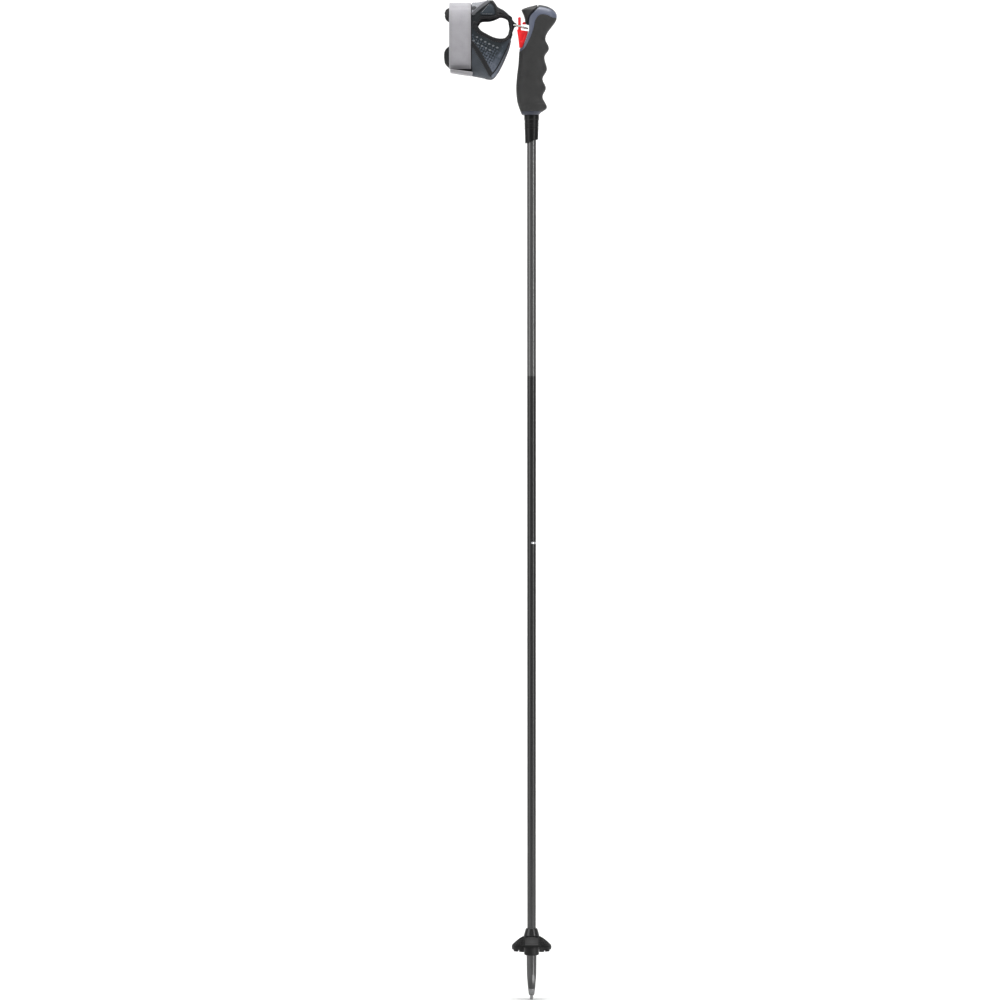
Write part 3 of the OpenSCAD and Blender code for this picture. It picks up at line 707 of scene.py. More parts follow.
def make_ferrule():
    """The moulded tip body, with the seat and the collar that hold the basket."""
    bore, collar_r, socket = 3, 9.5, 5.32
    profile = rounded([
        (bore, 13.3), (4.45, 13.3), (5.85, 30), (SEAT_R, HUB_LOW), (SEAT_R, FERRULE_COLLAR - 0.4),
        (collar_r, FERRULE_COLLAR), (collar_r, FERRULE_COLLAR + 0.7), (6.95, FERRULE_TOP),
        (socket, FERRULE_TOP), (socket, SHAFT_LOW_Z), (bore, SHAFT_LOW_Z)
    ], 0.5, 4)
    piece("ferrule_moulding", revolve(profile, 128), "pole", ferrule_plastic, ["tip_ferrule"])


def make_tip():
    """The turned steel cone and the hard-metal pin in it, with a cupped end."""
    shank, pin_r, socket, rim = 3, 2, 1.6, 5.4
    holder = [
        (socket, rim), (3.1, rim), (3.5, 6.3), (4.4, 12.9), (4.4, 13.35), (shank, 13.35),
        (shank, 30), (socket, 30)
    ]
    pin = [
        (AXIS, 0.5), (0.9, 0.42), (1.65, 0.0), (pin_r, 0.25), (pin_r, rim), (socket, 5.5),
        (socket, 14.4), (AXIS, 14.4)
    ]
    piece(
        "tip_sleeve_turned", revolve(rounded(holder, 0.25)), "pole", tip_steel, ["tip_holder"])
    piece(
        "tip_pin_ground", revolve(rounded(pin, 0.15)), "pole", tip_hard_metal,
        ["carbide_tip"])


BASKET_R, RIM_Z, SKIRT_Z, HUB_R = 24, 65.8, 58.8, 9.05
LOBE_X, PANEL_X, DOME_H, DOME_R = 8.6, 8.2, 11, 9.3


def dome_z(r):
    """Height of the basket's dome at the radius r."""
    return RIM_Z + DOME_H * (1 - clamp((r - DOME_R) / (BASKET_R - DOME_R)) ** 1.35)


def rim_floor(a):
    """Lower edge of the rim at angle a: notched lobes left and right, raised front and back."""
    x, y = abs(BASKET_R * math.cos(a)), abs(BASKET_R * math.sin(a))
    front_half, side_half, notch_half = 10.4, 9.6, 2.3
    if x < front_half:
        return 64.4
    if y < side_half:
        return 61 + 0.25 * math.cos(y * 2.1)
    return mix(SKIRT_Z, 62.2, clamp(notch_half - abs((x - y) / math.sqrt(2))))


def dimple(r, a):
    """Depth of the moulded dimples on the two side lobes."""
    x = r * math.cos(a)
    if abs(x) < LOBE_X:
        return 0
    first_r, last_r, pitch, count = 10.6, 23.4, 2.5, 34
    row = (r - first_r) / pitch
    column = a / (2 * math.pi) * count + 0.5 * (int(math.floor(row)) % 2)
    near = math.hypot((row % 1 - 0.5) * pitch, (column % 1 - 0.5) * 2 * math.pi * r / count)
    fade = clamp((abs(x) - LOBE_X) / 1.2) * clamp(last_r - r) * clamp((r - first_r + 0.4) / 0.8)
    return 1.05 * ease(clamp((1.2 - near) / 0.6)) * fade


def dome_line(a, reach):
    """The dome's upper side at angle a, with its dimples, sunk panels and raised lips."""
    line = []
    for r in reach:
        x = abs(r * math.cos(a))
        sunk = clamp((PANEL_X - x) / 0.6)
        lip = 0.45 * max(clamp(1 - abs(r - 11.4) / 0.7), clamp(1 - abs(r - 22.3) / 0.7))
        trough = 0.35 * clamp((r - 11.8) / 0.6) * clamp((21.8 - r) / 0.6)
        edge = 0.3 * clamp(1 - abs(x - PANEL_X - 0.1) / 0.6) * clamp((r - 11) / 0.8)
        line.append((r, dome_z(r) - 0.05 - dimple(r, a) + sunk * (lip - trough) + edge))
    return line


def make_basket():
    """One ring of rim, dome and underside per step round the shaft."""
    reach, inside = steps(9.45, BASKET_R - 0.8, 46), steps(BASKET_R - 3.4, HUB_R + 0.4, 12)
    collar, shell = FERRULE_COLLAR - 0.05, 2.4
    hub = [
        (HUB_R, 73), (HUB_R, HUB_LOW + 1.3), (HUB_R - 0.2, HUB_LOW + 0.9), (HUB_R - 1.2, HUB_LOW),
        (SEAT_R + 0.3, HUB_LOW), (SEAT_R, HUB_LOW + 0.3)
    ]
    rings = []
    for a in turns(540):
        low = rim_floor(a)
        outline = [(SEAT_R, 76.8), (SEAT_R + 0.3, collar), (9.1, collar)] + dome_line(a, reach)
        outline += [(BASKET_R - 0.25, RIM_Z - 0.3), (BASKET_R, RIM_Z - 0.9)]
        outline += [
            (BASKET_R, max(low + 0.3, 64.2) - 0.2), (BASKET_R - 0.25, low + 0.15),
            (BASKET_R - 0.7, low), (BASKET_R - 2.9, low), (BASKET_R - 3.3, low + 0.3)
        ]
        for r in inside:
            under = dome_z(r + 0.6) - shell
            outline.append((r, max(low + 0.5, under) if r > 20 else under))
        rings.append([(r * math.cos(a), r * math.sin(a), z) for r, z in outline + hub])
    obj = piece(
        "basket_moulding", skin(rings, closed=True), "pole",
        [basket_plastic, basket_panel_painted_light], ["basket"], 48)
    # The upward faces of the sunk panels take the lighter copy of the plastic: painted light on the panel
    # tops.
    for face in obj.data.polygons:
        x, y, z = face.center / MM
        in_panel = abs(x) < PANEL_X - 0.2 and abs(y) > 10.8
        if in_panel and z > 64.5 and math.hypot(x, y) < 22.9 and face.normal.z > 0.2:
            face.material_index = 1


make_shaft()
make_ferrule()
make_tip()
make_basket()


# ---- grip -----------------------------------------------------------------------------------

FINGER_KEYS = [
    (1067.2, 9.1), (1076.5, 18.6), (1089.4, 13.4), (1099.8, 17.3), (1110.7, 13.4),
    (1122.6, 18.6), (1136.8, 15.6), (1147.7, 21), (1159.1, 16.8), (1186.3, 30.7)
]
STRAP_SIDE_KEYS = [
    (1067.2, -11.8), (1069.6, -12.8), (1074.7, -14.6), (1083.3, -17.3), (1098.8, -18.7),
    (1115.7, -17.6), (1127.8, -16.1), (1147.1, -14.6), (1162, -11.2), (1177.2, -8),
    (1185.1, -8.8), (1193.8, -12.4)
]
WIDTH_KEYS = [
    (1067.2, 10.6), (1074, 12.6), (1085, 13.8), (1105, 14.2), (1150, 14.4), (1172, 14),
    (1186, 13.4), (1193.8, 11.2), (1197.5, 8), (1200.2, 3.4)
]
BEAK_Z, BROW_Z, GRIP_LOW, GRIP_HIGH, COLLAR_HIGH = 1193.8, 1186.3, 1067.2, 1200.2, 1071.3
CROWN_LOW, GRIP_POWER = 1190, 2.4
BAND_OUTER = [
    (29.2, 1190.1), (22.2, 1194.7), (10.1, 1197.1), (6.5, 1194.1), (-0.7, 1186.9),
    (-3.1, 1180.9), (-3.1, 1172.4), (-3.7, 1167.6), (-8, 1154.9), (-11, 1148.3), (-14.6, 1147.1)
]
BAND_INNER = [
    (29, 1184.5), (25.8, 1183.9), (19.2, 1186.9), (12.6, 1188.1), (7.7, 1185.7), (4.1, 1179.6),
    (2.7, 1172.4), (-0.7, 1162.1), (-4.9, 1153.1), (-8, 1147.7), (-12.8, 1144)
]
INNER_SLAB = [
    (-9, 1139), (9, 1139), (9, 1160), (12.5, 1171), (19, 1182), (17, 1189), (9, 1191.6),
    (4.2, 1190.4), (0.6, 1184), (-1.2, 1178), (-1.2, 1170), (-5, 1158), (-9, 1149.4)
]
REAR_EDGE = [(7.2, 1203), (6.9, 1198.4), (4.6, 1195.4), (-2.4, 1188.3), (-4.8, 1181.7), (-5.3, 1177.2)]
TRIGGER_PIVOT, BUTTON_PIVOT, PIN_R, PIN_PLAY, POCKET_HALF_W = (-12.9, 1150.2), (5.8, 1189.2), 1, 0.05, 4.4
POST_X, POST_TOP, POST_R = -14.6, 1185.7, 1.8
WIDE = 60

outer_edge = [tuple(p) for p in curve(BAND_OUTER, 4)]
inner_edge = [tuple(p) for p in curve(BAND_INNER, 4)]


def grip_back(z):
    """x of the grip's finger side at the height z."""
    if z <= BROW_Z:
        return swing(z, FINGER_KEYS)
    rise, crown_x, bulge, power = clamp((z - BROW_Z) / (GRIP_HIGH - BROW_Z)), 8.6, 22.1, 1.9
    return crown_x + bulge * max(0, 1 - rise**power) ** (1 / power)


def grip_front(z):
    """x of the grip's strap side at the height z."""
    if z <= BEAK_Z:
        return flowing(z, STRAP_SIDE_KEYS)
    beak_x, run = -12.4, 18.2
    return beak_x + run * ((z - BEAK_Z) / (GRIP_HIGH - BEAK_Z)) ** 1.7


def grip_ring(z, inset):
    """The grip's outline at the height z: a rounded box, inset from the outside."""
    x0, x1 = grip_front(z) + inset, grip_back(z) - inset
    half_w = flowing(z, WIDTH_KEYS) - inset
    middle, reach, power = (x0 + x1) / 2, (x1 - x0) / 2, 2 / GRIP_POWER
    return [
        (middle + reach * signed_pow(math.cos(a), power), half_w * signed_pow(math.sin(a), power), z)
        for a in turns(112)
    ]


def grip_form(z0, inset=0.0):
    """The grip's outer form from z0 to the crown, with closer rings where the top closes over."""
    body = steps(z0, CROWN_LOW, max(4, round((CROWN_LOW - z0) / 0.9)))
    crown = [mix(CROWN_LOW, GRIP_HIGH, math.sin(math.pi / 2 * t)) for t in steps(0, 1, 18)[1:]]
    rings = []
    for z in body + crown:
        thin = min(inset, 0.35 * (grip_back(z) - grip_front(z)))
        lower = inset * clamp((z - CROWN_LOW) / (GRIP_HIGH - CROWN_LOW))
        rings.append([(x, y, up - lower) for x, y, up in grip_ring(z, thin)])
    return skin(rings)


def behind_button(inset, reach, drop):
    """The skirt at the button's rear edge, whose near-black colour is painted shade in the gap, or the larger
    pocket in the core that it moves in.
    """
    edge = curve(REAR_EDGE, 4)
    front = [(p.x - 0.8, p.y + 0.3) for p in edge]
    rear = [(p.x + 0.95 * reach, p.y - 0.35 * reach) for p in edge]
    rear.append((rear[-1][0], rear[-1][1] - drop))
    front.append((front[-1][0], rear[-1][1]))
    shape = make_object("skirt", *grip_form(1168, inset))
    cut(shape, side_prism(front + rear[::-1], -WIDE, WIDE), "INTERSECT")
    return shape


def cut_pocket(obj):
    """Opens the pocket that the button's skirt moves in."""
    combine(obj, behind_button(1.2, 4.0, 1.6), "DIFFERENCE")


def core_inside():
    """The parts of the core that the rubber cover is pulled over."""
    return [side_prism(INNER_SLAB, -7.6, 7.6), upright(8, COLLAR_HIGH, 1145)]


def keep_inside(obj, region):
    """Keeps what lies inside a region that is drawn in the side view."""
    cut(obj, side_prism(region, -WIDE, WIDE), "INTERSECT")


def make_core():
    """The hard core: the band that shows beside the trigger, and the socket for the tube."""
    obj = make_object("core_band", *grip_form(1139))
    keep_inside(obj, [(45, 1181.5)] + outer_edge + [(-40, 1146.9), (-40, 1140.3)] + inner_edge[::-1])
    for part in core_inside():
        cut(obj, part, "UNION")
    ear = [(-12.9, 1148.3), (-8, 1148.3), (-8, 1153), (-12.9, 1152.1)]
    ear_low, ear_high, hub_r = 1.3, 3.1, 2.6
    for low, high in ((-ear_high, -ear_low), (ear_low, ear_high)):
        cut(obj, side_prism(ear, low, high), "UNION")
    cut(obj, upright(SHAFT_TOP_R, COLLAR_HIGH - 1, 1141.6))
    hub = [(x, z) for x, _, z in cross_cylinder(TRIGGER_PIVOT, hub_r, 1)[0][:48]]
    for s in (-1, 1):
        cut(obj, side_prism(hub, s * (ear_high + 0.2), s * WIDE))
    cut(obj, cross_cylinder(TRIGGER_PIVOT, PIN_R, WIDE))
    cut(obj, cross_cylinder(BUTTON_PIVOT, 3, POCKET_HALF_W))
    above = [(8.2, 1191.4), (3.4, 1187.2), (-6, 1186.6), (-6, 1200), (8.2, 1199)]
    cut(obj, side_prism(above, -POCKET_HALF_W, POCKET_HALF_W))
    cut(obj, cross_cylinder(BUTTON_PIVOT, PIN_R, 8))
    cut_pocket(obj)
    moulded(obj, 0.42, 3)
    finish_piece(obj, "pole", band_plastic, ["grip_core"], 60)


def make_cover():
    """The rubber cover with its small raised marks and the faint crease above the collar."""
    obj = make_object("grip_rubber_cover", *grip_form(COLLAR_HIGH))
    below = [(-40, 1140.3), (-40, 1060), (60, 1060), (60, 1181.5), (45, 1181.5)]
    keep_inside(obj, inner_edge + below)
    for part in core_inside():
        cut(obj, part)
    moulded(obj, 0.55, 4)
    marks = [(-11.2, 1141.5), (-11.6, 1134), (-12, 1127), (-12.3, 1120.5), (-12.6, 1114)]

    def relief(p, normal):
        """The marks on both flanks, and the crease; the strap-side and back ridges stay plain."""
        if abs(p.y) < 3:
            return Vector((0, 0, 0))
        lift = sum(0.45 * clamp(1 - ((p.x - x) / 1.3) ** 2 - ((p.z - z) / 2.3) ** 2) for x, z in marks)
        crease = 1080.5 + 1.2 * math.sin(p.x / 9)
        lift -= 0.28 * math.exp(-((p.z - crease) / 0.7) ** 2)
        return normal * lift

    shift_points(obj, relief)
    finish_piece(obj, "pole", grip_rubber, ["grip_cover"], 60)


def make_collar():
    """The ring under the cover, with rounded edges and the bore for the tube."""
    levels = (
        (GRIP_LOW, 0.9), (GRIP_LOW + 0.1, 0.5), (GRIP_LOW + 0.5, 0.15), (GRIP_LOW + 1, 0.05),
        (COLLAR_HIGH - 0.6, 0.05), (COLLAR_HIGH - 0.2, 0.15), (COLLAR_HIGH, 0.5)
    )
    rings = [grip_ring(z, inset) for z, inset in levels]
    bore = [(SHAFT_TOP_R * math.cos(a), SHAFT_TOP_R * math.sin(a)) for a in turns(112)]
    rings += [[(x, y, z) for x, y in bore] for z in (COLLAR_HIGH, GRIP_LOW)]
    piece("collar_ring", skin(rings, closed=True), "pole", collar_plastic, ["grip_collar"])


def sleeve_radius(z):
    """Radius of the sleeve under the grip: a slight cone, three ribs and a stepped top."""
    low_r, high_r, top_r, low_z, step_z, rib_h = 7.85, 8.75, 9.05, 1032.9, 1061.4, 0.32
    body = mix(low_r, high_r, (z - low_z) / (GRIP_LOW - low_z))
    body = mix(body, top_r, ease((z - step_z + 0.2) / 0.5))
    for rib in (1050.4, 1053.4, 1056.4):
        body += rib_h * ease(1 - abs(z - rib - 0.7) / 0.8)
    return min(top_r, body)


def make_sleeve():
    """The rubber sleeve under the grip, cut on a slant at its lower end."""
    low_z, low_r, rise, bore = 1035.4, 7.85, math.tan(math.radians(17.3)), SHAFT_TOP_R + 0.02
    rings = []
    for a in turns(128):
        start = low_z + low_r * math.cos(a) * rise
        inner = low_z + SHAFT_TOP_R * math.cos(a) * rise
        start_r = sleeve_radius(start)
        outline = [(bore, inner + 0.1), (start_r - 0.45, start - 0.02), (start_r - 0.1, start + 0.12)]
        outline += [(sleeve_radius(z), z) for z in steps(start + 0.5, GRIP_LOW - 0.3, 90)]
        outline += [(8.85, GRIP_LOW), (bore, GRIP_LOW)]
        rings.append([(r * math.cos(a), r * math.sin(a), z) for r, z in outline])
    piece("sleeve_rubber", skin(rings, closed=True), "pole", sleeve_rubber, ["grip_sleeve"])


def make_top_pad():
    """The thin pad over the crown, behind the button."""
    top = outer_edge[:11]
    obj = make_object("crown_pad", *grip_form(1180))
    keep_inside(obj, [(45, 1181.5), (45, 1206), (top[-1][0], 1206)] + top[::-1])
    cut_pocket(obj)
    moulded(obj, 0.4, 3)
    finish_piece(obj, "pole", pad_rubber, ["top_pad"], 60)


make_core()
make_cover()
make_collar()
make_sleeve()
make_top_pad()


# ---- trigger and button ---------------------------------------------------------------------

def make_trigger():
    """The wedge: hinge barrel and slot at its foot, and a shallow hollow in each flank."""
    outline = [
        (-17.6, 1170), (-4.1, 1168.2), (-4.4, 1166.9), (-6.3, 1161), (-8.6, 1154.5), (-10.9, 1149.4),
        (-12.6, 1148.3), (-15, 1149.6), (-15.6, 1156), (-16.5, 1163)
    ]
    slot = [(-17.5, 1145), (-2.5, 1145), (-2.5, 1154.6), (-17.5, 1154.6)]
    hollow = [(-15.2, 1166.6), (-7.2, 1165.6), (-9.6, 1158), (-11.2, 1155), (-13.9, 1155.6)]
    half_w, slot_half_w, skirt, hollow_depth = 6, 3.5, 0.8, 0.45
    obj = make_object("trigger_moulding", *side_prism(outline, -half_w, half_w))
    cut(obj, cross_cylinder(TRIGGER_PIVOT, 2.2, half_w), "UNION")
    cut(obj, cross_cylinder(TRIGGER_PIVOT, PIN_R + PIN_PLAY, half_w - skirt))
    cut(obj, side_prism(slot, -slot_half_w, slot_half_w))
    for s in (-1, 1):
        cut(obj, side_prism(rounded(hollow, 1.2), *sorted((s * (half_w - hollow_depth), s * (half_w + 1)))))
    moulded(obj, 0.26, 4)
    finish_piece(obj, "trigger", red_plastic, ["trigger_lever"], 60)


def make_post():
    """The round-ended post that the loop hangs on, with a small foot."""
    foot = 1163.6
    profile = [
        (AXIS, foot), (POST_R, foot), (POST_R, 1169.5), (POST_R + 0.35, 1170.1), (POST_R + 0.05, 1171)
    ]
    profile += [(POST_R - 0.08, z) for z in steps(1171.6, 1182.6, 6)]
    dome = POST_TOP - POST_R
    profile += [(POST_R * math.cos(a), dome + POST_R * math.sin(a)) for a in steps(0.0, 1.55, 10)]
    profile.append((AXIS, POST_TOP))
    piece("post_moulding", revolve(profile, 64, POST_X), "trigger", red_plastic, ["loop_post"])


NOSE_LOW, NOSE_HIGH, NOSE_HALF_W = (-11.2, 1176.6), (-6.8, 1179.6), 2.4


def nose_box(grow=0.0):
    """The latch nose, whose strap side is bevelled so that it yields to the loop."""
    (x0, z0), (x1, z1), bevel, half_w = NOSE_LOW, NOSE_HIGH, 1.4, NOSE_HALF_W + grow
    x0, z0, x1, z1 = x0 - grow, z0 - grow, x1 + grow, z1 + grow
    return side_prism([(x0, z0), (x1, z0), (x1, z1), (x0 + bevel, z1), (x0, z1 - bevel)], -half_w, half_w)


def make_button():
    """The claw-shaped push lever, with the arm that reaches its pin and the seat for the nose."""
    edge = [tuple(p) for p in curve(REAR_EDGE, 4)]
    arm = [(5.8, 1191.8), (3.2, 1189.2), (-3.4, 1191.4), (2.2, 1196.4), (4.6, 1196.4)]
    arm_half_w, spring_half_w = 4, 1.5
    obj = make_object("button_moulding", *grip_form(1174))
    keep_inside(obj, edge + [(-30, 1177.2), (-30, 1203)])
    cut(obj, side_prism(arm, -arm_half_w, arm_half_w), "UNION")
    cut(obj, cross_cylinder(BUTTON_PIVOT, 2.6, arm_half_w), "UNION")
    cut(obj, cross_cylinder(BUTTON_PIVOT, PIN_R + PIN_PLAY, WIDE))
    cut(obj, cross_cylinder(BUTTON_PIVOT, 3.2, spring_half_w))
    cut(obj, nose_box())
    moulded(obj, 0.34, 3)

    def ridges(p, normal):
        """Low ribs across the thumb face, where the thumb pushes down."""
        half_w, rear, low, pitch = 8.5, 3.5, 1190, 2.2
        if p.z < low or abs(p.y) > half_w or normal.z < 0.25 or p.x > rear:
            return Vector((0, 0, 0))
        fade = clamp((half_w - abs(p.y)) / 1.5) * clamp((rear - p.x) / 1.5)
        return normal * (-0.3 * fade * ease(0.5 + 0.5 * math.sin(2 * math.pi * p.x / pitch)))

    shift_points(obj, ridges)
    finish_piece(obj, "button", button_plastic, ["release_button"], 60)


def make_skirt():
    """The skirt that closes the view behind the button; its near-black colour is painted shade in the gap
    there.
    """
    obj = behind_button(1.6, 2.5, 0.0)
    moulded(obj, 0.34, 2)
    obj.name = "button_skirt"
    finish_piece(obj, "button", skirt_painted_shade, (), 60)


def make_nose():
    """The red nose under the button, which keeps the loop on its post."""
    obj = make_object("nose_moulding", *nose_box(-0.02))
    bevelled(obj, 0.22, 3, 30)
    finish_piece(obj, "button", red_plastic, ["latch_nose"])


make_trigger()
make_post()
make_button()
make_skirt()
make_nose()


# ---- loop of braided cord -------------------------------------------------------------------

STRAP_EYE, LOOP_FAR = (-20.5, 1176), (-5.2, 1171.8)


def tube(path, radius, ups, closed=False, sides=8):
    """A round tube along a path; ups gives one steady direction, or one direction for each point."""
    rings, last = [], len(path) - 1
    for i, p in enumerate(path):
        p = Vector(p)
        before = path[i - 1] if closed or i else path[0]
        after = path[(i + 1) % len(path)] if closed or i < last else path[last]
        along = (Vector(after) - Vector(before)).normalized()
        up = Vector(ups[i]) if isinstance(ups, list) else Vector(ups)
        side = up.cross(along).normalized()
        over = along.cross(side)
        r = radius(i / last) if callable(radius) else radius
        rings.append([tuple(p + r * (math.cos(t) * side + math.sin(t) * over)) for t in turns(sides)])
    return skin(rings, closed)


def loop_route():
    """The middle of the cord, as a closed line in the loop's own sloping plane."""
    dx, dz = LOOP_FAR[0] - STRAP_EYE[0], LOOP_FAR[1] - STRAP_EYE[1]
    reach = math.hypot(dx, dz)
    near_r, far_r, eye_half = 1.9, 3.4, 2.3
    corner = [
        (near_r - near_r * math.cos(a), eye_half + near_r * math.sin(a)) for a in (math.pi / 6, math.pi / 3)
    ]
    half = [(0, 0), (0, 1.2), (0, eye_half)] + corner + [(near_r, 4.2), (5, 3.9), (8.6, 3.6)]
    bend = [
        (reach - far_r + far_r * math.cos(a), far_r * math.sin(a))
        for a in steps(math.pi / 2, -math.pi / 2, 8)
    ]
    flat = half + bend + [(d, -y) for d, y in reversed(half[1:])]
    along = Vector((dx / reach, 0, dz / reach))
    start = Vector((STRAP_EYE[0], 0, STRAP_EYE[1]))
    line = curve([start + along * d + Vector((0, y, 0)) for d, y in flat], 6, closed=True)
    return even(line + [line[0]], 0.22)[:-1], Vector((-along.z, 0, along.x))


def make_loop():
    """Eight strands plaited over and under each other round a dark core; two carry the tracer."""
    route, up = loop_route()
    count, laps, strands = len(route), 9, 8
    crossings = laps * strands / 2
    core = tube(route, 0.62, up, closed=True)
    parts, owners = [core], [1] * len(core[1])
    for s in range(strands):
        way = 1 if s % 2 else -1
        path, ups = [], []
        for i, p in enumerate(route):
            along = (route[(i + 1) % count] - route[i - 1]).normalized()
            side = up.cross(along).normalized()
            turn = 2 * math.pi * (laps * way * i / count + (s // 2) / (strands / 2))
            turn += (way > 0) * math.pi / 4
            out = math.cos(turn) * side + math.sin(turn) * up
            weave = 0.1 * math.cos(2 * math.pi * crossings * i / count) * way
            path.append(p + out * (0.7 + weave))
            ups.append(out)
        strand = tube(path, 0.4, ups, closed=True, sides=6)
        parts.append(strand)
        owners += [2 if s in (1, 4) else 0] * len(strand[1])
    obj = piece(
        "loop_braided", joined(parts), "strap_loop", [pale_yarn, black_yarn, green_yarn],
        ["loop_cord"], 70)
    for face, owner in zip(obj.data.polygons, owners):
        face.material_index = owner


# ---- hand panels ----------------------------------------------------------------------------

LOWER = [
    (-72, 1172, -72, 1114, 28), (-65.5, 1172, -64, 1112.5, 27.5), (-61, 1166.6, -56, 1111, 26.5),
    (-55, 1163.2, -48, 1111, 25), (-46.8, 1159.3, -41.5, 1118, 22), (-39.5, 1157.9, -35.5, 1129, 18),
    (-32.1, 1158.9, -29.5, 1143, 13), (-27.6, 1164, -24.9, 1157, 8)
]
UPPER = [
    (-72, 1172.6, -72, 1203, 28), (-65.5, 1175.5, -64.3, 1203.8, 27), (-61, 1181.5, -57, 1204.8, 24),
    (-50.9, 1182.1, -50.2, 1205.8, 20), (-43.4, 1184, -46.2, 1205.2, 17), (-38.1, 1186, -40.8, 1198, 11),
    (-33.3, 1185, -33.4, 1194, 8), (-28.7, 1182.7, -26.4, 1187.6, 6)
]
PANEL_T, WEB_POWER = 2.4, 2.3


def panel_point(stations, u, a, inset=0.0):
    """Point at station u and angle a from the ridge, inset from the panel's outside."""
    nx, nz, rx, rz, y = spline_point(stations, u)
    reach = math.hypot(rx - nx, rz - nz)
    c = signed_pow(math.cos(a), 2 / WEB_POWER) * (reach - inset) / reach
    return Vector((mix(nx, rx, c), signed_pow(math.sin(a), 2 / WEB_POWER) * (y - inset), mix(nz, rz, c)))


def panel_height(stations, x, z):
    """Half-width of a panel's outside where the side view shows the point x, z."""
    def lean(u):
        nx, nz, rx, rz, _ = spline_point(stations, u)
        return (x - nx) * (rz - nz) - (z - nz) * (rx - nx)

    low, high = 0.0, len(stations) - 1.0
    start = lean(low)
    for _ in range(26):
        middle = (low + high) / 2
        if lean(middle) * start > 0:
            low = middle
        else:
            high = middle
    nx, nz, rx, rz, y = spline_point(stations, low)
    reach = math.hypot(rx - nx, rz - nz)
    c = ((x - nx) * (rx - nx) + (z - nz) * (rz - nz)) / reach**2
    return y * (1 - clamp(c, 0, 0.97) ** WEB_POWER) ** (1 / WEB_POWER)


def on_panel(stations, x, z, side, lift):
    """A point lifted off a panel's outside, and the direction it was lifted in."""
    gap = 0.4
    y = panel_height(stations, x, z)
    slope_x = (panel_height(stations, x + gap, z) - panel_height(stations, x - gap, z)) / (2 * gap)
    slope_z = (panel_height(stations, x, z + gap) - panel_height(stations, x, z - gap)) / (2 * gap)
    out = Vector((-slope_x, 1, -slope_z)).normalized()
    spot = Vector((x, y, z)) + out * lift
    return Vector((spot.x, side * spot.y, spot.z)), Vector((out.x, side * out.y, out.z))


def wrinkle(p, size, height):
    """Soft unevenness of worn cloth."""
    return height * noise.noise(Vector((p.x, p.y, p.z)) / size)


def rolled_rim(stations, u, first, last, count):
    """The points of a half-round rim from one side of the cloth to the other."""
    nx, nz, rx, rz, _ = spline_point(stations, u)
    beyond = Vector((nx - rx, 0, nz - rz)).normalized() * PANEL_T / 2 * 0.6
    middle = (first + last) / 2
    angles = steps(0, math.pi, count + 1)[1:-1]
    return [middle + (first - middle) * math.cos(t) + beyond * math.sin(t) for t in angles]


def make_panel(name, stations, cloths, node, choose):
    """A curved hand panel with rolled rims; choose(point) gives a face's material."""
    rows, columns, rim, last = 7 * 14, 56, 3, 7
    verts, flat = [], []
    for i in range(rows + 1):
        u = last * i / rows
        outside, inside = [], []
        for a in steps(-math.pi / 2, math.pi / 2, columns):
            front, back = panel_point(stations, u, a), panel_point(stations, u, a, PANEL_T)
            away = (front - back).normalized()
            give = wrinkle(front, 9, 0.5) + wrinkle(front, 3.5, 0.16)
            fade = clamp((math.pi / 2 - abs(a)) / 0.25) * clamp(u / 0.4) * clamp((last - u) / 0.6)
            outside.append(front + away * (give * fade - 0.25))
            inside.append(back + away * (give * fade * 0.5))
        ring = outside + rolled_rim(stations, u, outside[-1], inside[-1], rim)
        ring += inside[::-1] + rolled_rim(stations, u, inside[0], outside[0], rim)
        run = 0.0
        for k, p in enumerate(ring):
            run += (p - ring[k - 1]).length if k else 0
            verts.append(tuple(p))
            flat.append((spline_point(stations, u)[2] * 1.1, run))
    n, span = len(ring), columns + 1
    faces = [
        (i * n + k, i * n + (k + 1) % n, (i + 1) * n + (k + 1) % n, (i + 1) * n + k)
        for i in range(rows) for k in range(n)
    ]
    for start in (0, rows * n):
        far = start + 2 * span + rim - 1
        faces += [(start + k, start + k + 1, far - 1 - k, far - k) for k in range(columns)]
        faces.append(tuple(start + k for k in range(columns, columns + rim + 2)))
        faces.append(tuple(start + k for k in list(range(2 * span + rim - 1, n)) + [0]))
    obj = piece(name, (verts, faces), "hand_strap", cloths, [node], 60)
    cloth_uv(obj, flat)
    for face in obj.data.polygons:
        face.material_index = choose(face.center / MM)
    return obj


def flat_band(line, ups, width, thick, crown=0.0):
    """A flat band swept along a line, whose outward directions are ups: its shape and flat places."""
    half, edge, high = width / 2, min(thick / 2, 0.3), thick / 2
    profile = [(-half, 0), (-half + edge, high)]
    profile += [
        (mix(-half + edge, half - edge, t), high + crown * math.sin(math.pi * t))
        for t in steps(0, 1, 6)[1:-1]
    ]
    profile += [(half - edge, high), (half, 0), (half - edge, -high), (-half + edge, -high)]
    rings, flat, run, last = [], [], 0.0, len(line) - 1
    for i, p in enumerate(line):
        along = (line[min(last, i + 1)] - line[max(0, i - 1)]).normalized()
        across = along.cross(ups[i]).normalized()
        up = across.cross(along).normalized()
        run += (p - line[i - 1]).length if i else 0
        rings.append([tuple(p + across * o + up * h) for o, h in profile])
        flat += [(o, run) for o, _ in profile]
    return skin(rings), flat


def banded(name, bands, material, replaces):
    """One piece of the hand strap from several flat bands."""
    obj = piece(name, joined([shape for shape, _ in bands]), "hand_strap", material, replaces, 50)
    cloth_uv(obj, [place for _, places in bands for place in places])
    return obj


def side_line(stations, path, side, lift, gap):
    """A path in the side view, smoothed and laid on one side of a panel: its points and directions."""
    line = even(curve([(x, z, 0) for x, z in path], 8), gap)
    placed = [on_panel(stations, p.x, p.y, side, lift) for p in line]
    return [p for p, _ in placed], [up for _, up in placed]


